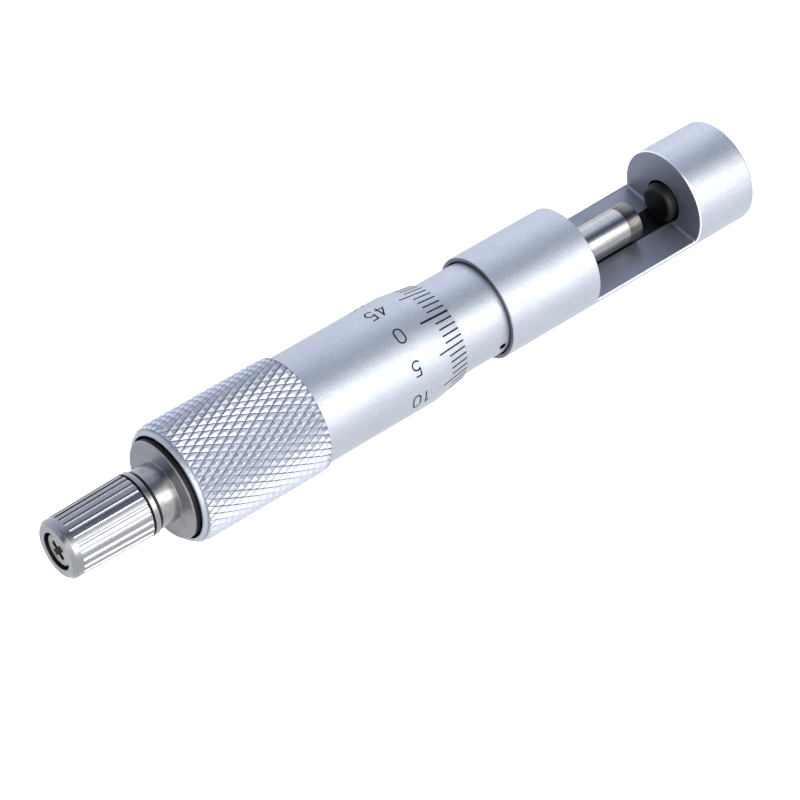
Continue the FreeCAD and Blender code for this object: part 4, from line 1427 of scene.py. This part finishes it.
def flute_cutter(sizes, front, rear, front_radius, rear_radius):
    """A round-ended cutter that lies along the knob's slope."""
    lift = sizes.flute_radius - sizes.flute_depth
    start = polar(front, front_radius + lift, 0)
    end = polar(rear, rear_radius + lift, 0)
    bm = bmesh.new()
    along = (end - start).normalized()
    side = Vector((0, 1, 0))
    up = along.cross(side)
    segments = 24
    cap_steps = 4
    sections = []
    for centre, sign in ((start, -1), (end, 1)):
        for step in range(cap_steps + 1):
            bend = math.pi / 2 * (step if sign > 0 else cap_steps - step) / cap_steps
            radius = sizes.flute_radius * math.cos(bend)
            middle = centre + along * (sign * sizes.flute_radius * math.sin(bend))
            if radius < TINY:
                sections.append([bm.verts.new(middle)])
                continue
            section = []
            for k in range(segments):
                turn = 2 * math.pi * k / segments
                outward = side * math.cos(turn) + up * math.sin(turn)
                section.append(bm.verts.new(middle + outward * radius))
            sections.append(section)
    for near, far in zip(sections, sections[1:]):
        join_rings(bm, near, far, segments)
    return finish_mesh(bm, "flute")


# Share of the flutes' pitch whose faces get painted shade, counted from one land's middle
FLUTE_SHADE = 0.385


def build_knob(sizes):
    """Fluted ratchet knob with its collar, undercut, bore and rounded nose."""
    low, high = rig.box("ratchet_knob")
    front = high.x
    rear = low.x
    collar_rear = front - sizes.collar_length
    undercut_rear = collar_rear - sizes.undercut_length
    hole_front = rear + sizes.hole_depth
    nose_cut = 0.8 * sizes.nose_rounding
    nose_front = rear + nose_cut
    slope = (sizes.front_radius - sizes.nose_radius) / (undercut_rear - nose_front)
    knob = turned("ratchet_knob_turned", [
        (front, sizes.bore_radius + JOURNAL_GAP, 0),
        (front, sizes.collar_radius, 0.12 * MM),
        (collar_rear, sizes.collar_radius, 0.08 * MM),
        (collar_rear, sizes.undercut_radius, 0),
        (undercut_rear, sizes.undercut_radius, 0),
        (undercut_rear, sizes.front_radius, 0.05 * MM),
        (nose_front, sizes.nose_radius, 0.3 * MM),
        (rear, sizes.nose_radius - nose_cut, 0.1 * MM),
        (rear, sizes.hole_radius, 0.16 * MM),
        (hole_front, sizes.hole_radius, 0),
        (hole_front, sizes.bore_radius, 0),
    ], segments=288, steps=8)

    # The flutes run out into the undercut and stop short of the collar
    flute_rear = rear + sizes.flute_margin + sizes.flute_radius
    flute_front = collar_rear - 1.1 * sizes.flute_radius
    cutter = flute_cutter(
        sizes, flute_front, flute_rear, sizes.front_radius + slope * sizes.flute_radius,
        sizes.nose_radius + slope * (flute_rear - nose_front))
    material = finish("bright_steel")
    rings(cutter, material, sizes.flutes)
    cut(knob, cutter)
    reshade(knob, 30)
    seat(knob, "knob", material, "polished_steel", "ratchet_knob")

    def land_radius(x):
        return sizes.nose_radius + slope * max(0.0, x - nose_front)

    def in_flute(middle, normal):
        depth = land_radius(middle.x) - from_axis(middle)
        on_grip = rear + sizes.flute_margin - SLACK < middle.x < undercut_rear - HAIR
        return on_grip and depth > SLACK and from_axis(middle) > sizes.bore_radius + SLACK

    def in_shade(middle, normal):
        turn = math.atan2(-middle.y, middle.z) * sizes.flutes / (2 * math.pi)
        return in_flute(middle, normal) and (turn + 0.5) % 1 < FLUTE_SHADE

    def in_undercut(middle, normal):
        inside = undercut_rear - HAIR < middle.x < collar_rear + HAIR
        return inside and from_axis(middle) < sizes.collar_radius - 10 * SLACK

    def in_hole(middle, normal):
        return from_axis(middle) < sizes.bore_radius + SLACK and abs(normal.x) < 0.5

    # Every flute face gets a painted highlight, then the faces on one side get painted shade
    paint(knob, finish("flute_light"), in_flute)
    paint(knob, finish("flute_wall"), in_shade)
    # Painted shade: near-black in the undercut and the bore
    paint(knob, finish("dark_bore"), lambda middle, normal: (
        in_undercut(middle, normal) or in_hole(middle, normal)))
    return knob


def cross_arm(sizes, top, bottom, turn):
    """A cutter for one arm of the cross, which narrows towards the bottom."""
    bm = bmesh.new()
    levels = (
        (top, 1.12 * sizes.cross_span, 1.05 * sizes.cross_width),
        (bottom, 0.45 * sizes.cross_span, 0.8 * sizes.cross_width),
    )
    rows = []
    for x, span, width in levels:
        row = []
        for along, across in ((-1, -1), (1, -1), (1, 1), (-1, 1)):
            row.append(bm.verts.new((x, along * span / 2, across * width / 2)))
        rows.append(row)
    near, far = rows
    bm.faces.new(near)
    bm.faces.new(list(reversed(far)))
    for index in range(4):
        after = (index + 1) % 4
        bm.faces.new((near[index], near[after], far[after], far[index]))
    bmesh.ops.transform(bm, verts=bm.verts, matrix=Matrix.Rotation(turn, 4, "X"))
    return finish_mesh(bm, "cross")


def build_screw(sizes):
    """Knob screw with a cross in its head."""
    low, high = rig.box("knob_screw")
    head_front = low.x + sizes.head_height
    screw = turned("knob_screw_turned", [
        (low.x, 0, 0),
        (low.x, sizes.head_radius, sizes.head_rounding),
        (head_front, sizes.head_radius, 0.08 * MM),
        (head_front, sizes.shank_radius, 0),
        (high.x, sizes.shank_radius, 0.2 * MM),
        (high.x, 0, 0),
    ], segments=96, steps=6)
    for turn in (sizes.cross_turn, sizes.cross_turn + math.pi / 2):
        cut(screw, cross_arm(sizes, low.x - MM, low.x + sizes.cross_depth, turn))
    reshade(screw)
    seat(screw, "thimble", finish("screw_steel"), "screw_steel", "knob_screw")

    def in_cross(middle, normal):
        inside = low.x + SLACK < middle.x < low.x + 1.5 * sizes.cross_depth
        return inside and from_axis(middle) < 0.56 * sizes.cross_span

    # Painted shade: the anvil's dark metal in the cross of the screw head
    paint(screw, finish("anvil_black"), in_cross)
    return screw


INNER_NODES = (
    "threaded_bush", "adjusting_nut", "taper_connector", "clamp_washer", "ratchet_spring",
    "sliding_ratchet", "ratchet_wheel", "knob_washer",
)


def dress_inner_parts():
    """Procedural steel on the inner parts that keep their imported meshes."""
    for name in INNER_NODES:
        for slot in frame["nodes"][name].material_slots:
            slot.material = finish("inner_steel")


# Lamps: where each stands, what it looks at and how large it is
SIDE_LAMP = {"stand": (0.09, -0.60, 0.36), "target": (-0.015, 0, 0), "size": (1.1, 0.42)}
BACK_LAMP = {"stand": (0.18, 0.155, 0.125), "target": (0.04, 0, 0), "size": (0.15, 0.2)}


def lamp(name, power, stand, target, size):
    """A rectangular soft lamp that looks at its target."""
    light = bpy.data.lights.new(name, "AREA")
    light.shape = "RECTANGLE"
    light.size, light.size_y = size
    light.energy = power
    holder = bpy.data.objects.new(name, light)
    ahead = (Vector(target) - Vector(stand)).normalized()
    facing = ahead.to_track_quat("-Z", "Y").to_matrix().to_4x4()
    holder.matrix_world = Matrix.Translation(stand) @ facing
    bpy.context.scene.collection.objects.link(holder)
    return holder


def build_camera(settings):
    """The camera of the photograph's view."""
    camera = bpy.data.cameras.new("camera")
    camera.lens = settings.lens
    camera.sensor_width = 36.0
    camera.clip_start = 0.01
    camera.clip_end = 20.0
    holder = bpy.data.objects.new("camera", camera)
    right = Vector(settings.camera_right).normalized()
    back = -Vector(settings.camera_ahead).normalized()
    up = back.cross(right).normalized()
    holder.matrix_world = Matrix.Translation(Vector(settings.camera_place)) @ Matrix(
        (right, up, back)).transposed().to_4x4()
    bpy.context.scene.collection.objects.link(holder)
    bpy.context.scene.camera = holder
    return holder


# Tones round the axis, from level on the far side (0) over the top (0.5) to level on the near side
SKY_BANDS = (
    (0.00, (0.70, 0.73, 0.81)),
    (0.15, (0.56, 0.60, 0.70)),
    (0.30, (0.465, 0.51, 0.63)),
    (0.42, (0.36, 0.405, 0.52)),
    (0.475, (0.215, 0.245, 0.315)),
    (0.52, (0.10, 0.13, 0.19)),
    (0.58, (0.095, 0.125, 0.18)),
    (0.645, (0.26, 0.29, 0.34)),
    (0.70, (0.68, 0.71, 0.75)),
    (0.73, (1.00, 1.00, 1.00)),
    (0.93, (1.00, 1.00, 1.00)),
    (1.00, (0.80, 0.84, 0.90)),
)


# Levels of a direction's X between which the surroundings change, and from what to what
BEHIND = {"start": 0.40, "end": 0.0, "low": 0.0, "high": 1.0}
NEAR = {"start": 0.45, "end": 0.54, "low": 1.0, "high": 1.5}
AHEAD = {"start": 0.58, "end": 0.86, "low": 1.0, "high": 0.3}

# How far the bands are turned behind the part, as a share of half a turn
BEHIND_SHIFT = 0.12


def eased(tree, column, row, source, start, end, low, high):
    """A value that goes smoothly from low to high between two levels of its source."""
    node = place(tree, "ShaderNodeMapRange", column, row, interpolation_type="SMOOTHSTEP")
    tree.links.new(source, node.inputs["Value"])
    limits = {"From Min": start, "From Max": end, "To Min": low, "To Max": high}
    for name, limit in limits.items():
        node.inputs[name].default_value = limit
    return node.outputs["Result"]


def build_world(strength):
    """White surroundings for the camera and a studio with a bright side for the metal."""
    world = bpy.data.worlds.new("studio")
    world.use_nodes = True
    tree = world.node_tree
    tree.nodes.clear()
    where = place(tree, "ShaderNodeTexCoord", -8, 0)
    parts = place(tree, "ShaderNodeSeparateXYZ", -6, 0)
    tree.links.new(where.outputs["Generated"], parts.inputs[0])
    sideways = maths(tree, "MULTIPLY", -5, 0, parts.outputs["Y"], -1.0)
    tilt = maths(tree, "ARCTAN2", -4, 0, sideways, parts.outputs["Z"])
    around = maths(tree, "MULTIPLY_ADD", -3, 0, tilt, 1 / math.pi, 0.5)
    behind = eased(tree, -4, 3, parts.outputs["X"], **BEHIND)
    band = maths(tree, "MULTIPLY_ADD", -3, 1, behind, BEHIND_SHIFT, around)
    ramp = place(tree, "ShaderNodeValToRGB", -2, 0)
    tree.links.new(band, ramp.inputs[0])
    points = ramp.color_ramp.elements
    for position, _ in SKY_BANDS[1:-1]:
        points.new(position)
    for point, (position, tone) in zip(points, SKY_BANDS):
        point.position = position
        point.color = (*tone, 1)
    near = eased(tree, -4, 7, parts.outputs["X"], **NEAR)
    ahead = eased(tree, -4, 5, parts.outputs["X"], **AHEAD)
    share = maths(tree, "MULTIPLY", -2, 5, ahead, near)
    studio = place(tree, "ShaderNodeBackground", 1, 0)
    tree.links.new(ramp.outputs[0], studio.inputs["Color"])
    tree.links.new(maths(tree, "MULTIPLY", -1, 5, share, strength), studio.inputs["Strength"])
    plain = place(tree, "ShaderNodeBackground", 1, 2)
    plain.inputs["Color"].default_value = (1, 1, 1, 1)
    path = place(tree, "ShaderNodeLightPath", 1, -3)
    mix = place(tree, "ShaderNodeMixShader", 4, 0)
    tree.links.new(path.outputs["Is Camera Ray"], mix.inputs[0])
    tree.links.new(studio.outputs[0], mix.inputs[1])
    tree.links.new(plain.outputs[0], mix.inputs[2])
    out = place(tree, "ShaderNodeOutputWorld", 6, 0)
    tree.links.new(mix.outputs[0], out.inputs[0])
    bpy.context.scene.world = world


def build_floor(settings):
    """A white floor under the part that keeps a soft shadow."""
    bottom = CAD_BOX[0][2]
    half = settings.floor_size / 2
    corners = [(x * half, y * half, bottom) for x, y in ((-1, -1), (1, -1), (1, 1), (-1, 1))]
    mesh = bpy.data.meshes.new("floor")
    mesh.from_pydata(corners, [], [(0, 1, 2, 3)])
    floor = bpy.data.objects.new("floor", mesh)
    bpy.context.scene.collection.objects.link(floor)
    material = bpy.data.materials.new("floor")
    material.use_nodes = True
    tree = material.node_tree
    shader = tree.nodes["Principled BSDF"]
    shader.inputs["Base Color"].default_value = (*settings.floor_colour, 1)
    shader.inputs["Roughness"].default_value = 0.8
    shader.inputs["Specular IOR Level"].default_value = 0.0
    glow = place(tree, "ShaderNodeEmission", 0, 3)
    path = place(tree, "ShaderNodeLightPath", -4, 3)
    glossy = path.outputs["Is Glossy Ray"]
    mirrored = maths(tree, "MAXIMUM", -3, 4, glossy, path.outputs["Is Transmission Ray"])
    echo = maths(tree, "MULTIPLY", -3, 5, mirrored, settings.floor_echo)
    seen = maths(tree, "MAXIMUM", -2, 3, path.outputs["Is Camera Ray"], echo)
    tree.links.new(maths(tree, "MULTIPLY", -1, 4, seen, settings.floor_glow), glow.inputs["Strength"])
    both = place(tree, "ShaderNodeAddShader", 2, 1)
    tree.links.new(shader.outputs[0], both.inputs[0])
    tree.links.new(glow.outputs[0], both.inputs[1])
    tree.links.new(both.outputs[0], tree.nodes["Material Output"].inputs["Surface"])
    mesh.materials.append(material)
    return floor


def build_stage(settings):
    """Camera, world, floor and lamps."""
    build_world(settings.world_strength)
    camera = build_camera(settings)
    floor = build_floor(settings)
    side = lamp("soft_side", settings.side_power, **SIDE_LAMP)
    back = lamp("soft_back", settings.back_power, **BACK_LAMP)
    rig.stage(camera, floor, side, back)


class BuildPiece(Operator):
    """What the operators that build pieces share."""

    bl_options = {"REGISTER", "UNDO"}

    def run(self, builders):
        """Builds each piece and stops with an error where one fails."""
        for build, group in builders:
            try:
                build(getattr(bpy.context.scene, group))
            except (RuntimeError, ValueError, KeyError) as error:
                self.report({"ERROR"}, f"{build.__name__}: {error}")
                raise
        return {"FINISHED"}


class BuildFrame(BuildPiece):
    """Frame bar with its notch, and the dark anvil."""

    bl_idname = "wire.build_frame"
    bl_label = "Frame and anvil"

    def execute(self, context):
        return self.run([(build_frame, "wire_frame"), (build_anvil, "wire_spindle")])


class BuildSpindle(BuildPiece):
    """Spindle and its carbide tip."""

    bl_idname = "wire.build_spindle"
    bl_label = "Spindle and tip"

    def execute(self, context):
        return self.run([(build_spindle, "wire_spindle"), (build_tip, "wire_spindle")])


class BuildSleeve(BuildPiece):
    """Sleeve with its hole and main scale."""

    bl_idname = "wire.build_sleeve"
    bl_label = "Sleeve and main scale"

    def execute(self, context):
        return self.run([(build_sleeve, "wire_sleeve"), (build_main_scale, "wire_sleeve")])


class BuildThimble(BuildPiece):
    """Thimble barrel, knurled grip and graduations."""

    bl_idname = "wire.build_thimble"
    bl_label = "Thimble"

    def execute(self, context):
        return self.run([
            (build_thimble, "wire_thimble"),
            (build_knurl, "wire_thimble"),
            (build_scale, "wire_thimble"),
        ])


class BuildKnob(BuildPiece):
    """Ratchet axle, fluted knob and its screw."""

    bl_idname = "wire.build_knob"
    bl_label = "Ratchet knob"

    def execute(self, context):
        return self.run([
            (build_axle, "wire_knob"),
            (build_knob, "wire_knob"),
            (build_screw, "wire_knob"),
        ])


class DressInnerParts(Operator):
    """Steel on the inner parts."""

    bl_idname = "wire.dress_inner_parts"
    bl_label = "Inner parts"
    bl_options = {"REGISTER", "UNDO"}

    def execute(self, context):
        dress_inner_parts()
        return {"FINISHED"}


class BuildStage(BuildPiece):
    """Camera, floor, surroundings and lamps."""

    bl_idname = "wire.build_stage"
    bl_label = "Stage"

    def execute(self, context):
        return self.run([(build_stage, "wire_stage")])


STEPS = (
    BuildFrame, BuildSpindle, BuildSleeve, BuildThimble, BuildKnob, DressInnerParts, BuildStage,
)


class MicrometerPanel(Panel):
    """Buttons and sizes of the wire micrometer."""

    bl_idname = "VIEW3D_PT_wire_micrometer"
    bl_label = "Wire micrometer"
    bl_space_type = "VIEW_3D"
    bl_region_type = "UI"
    bl_category = "Micrometer"

    def draw(self, context):
        for step in STEPS:
            self.layout.operator(step.bl_idname)
        for name, group in GROUPS.items():
            box = self.layout.box()
            box.label(text=name.removeprefix("wire_").capitalize())
            values = getattr(context.scene, name)
            for key in group.__annotations__:
                box.prop(values, key)


CLASSES = (*GROUPS.values(), *STEPS, MicrometerPanel)


def register():
    """Registers the classes and puts the property groups on the scene."""
    for item in CLASSES:
        bpy.utils.register_class(item)
    for name, group in GROUPS.items():
        setattr(bpy.types.Scene, name, PointerProperty(type=group))


def unregister():
    """Takes the property groups and the classes away again."""
    for name in GROUPS:
        delattr(bpy.types.Scene, name)
    for item in reversed(CLASSES):
        bpy.utils.unregister_class(item)


def main():
    """Builds every piece and writes the sizes."""
    register()
    bpy.context.scene.view_settings.view_transform = "Standard"
    for step in STEPS:
        area, name = step.bl_idname.split(".")
        getattr(getattr(bpy.ops, area), name)()
    sizes = {
        "cad": [[float(value) for value in corner] for corner in CAD_BOX],
        "visual": [[float(value) for value in corner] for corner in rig.bounds()],
    }
    with open("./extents.json", "w", encoding="utf-8") as output:
        json.dump(sizes, output)


if __name__ == "__main__":
    main()
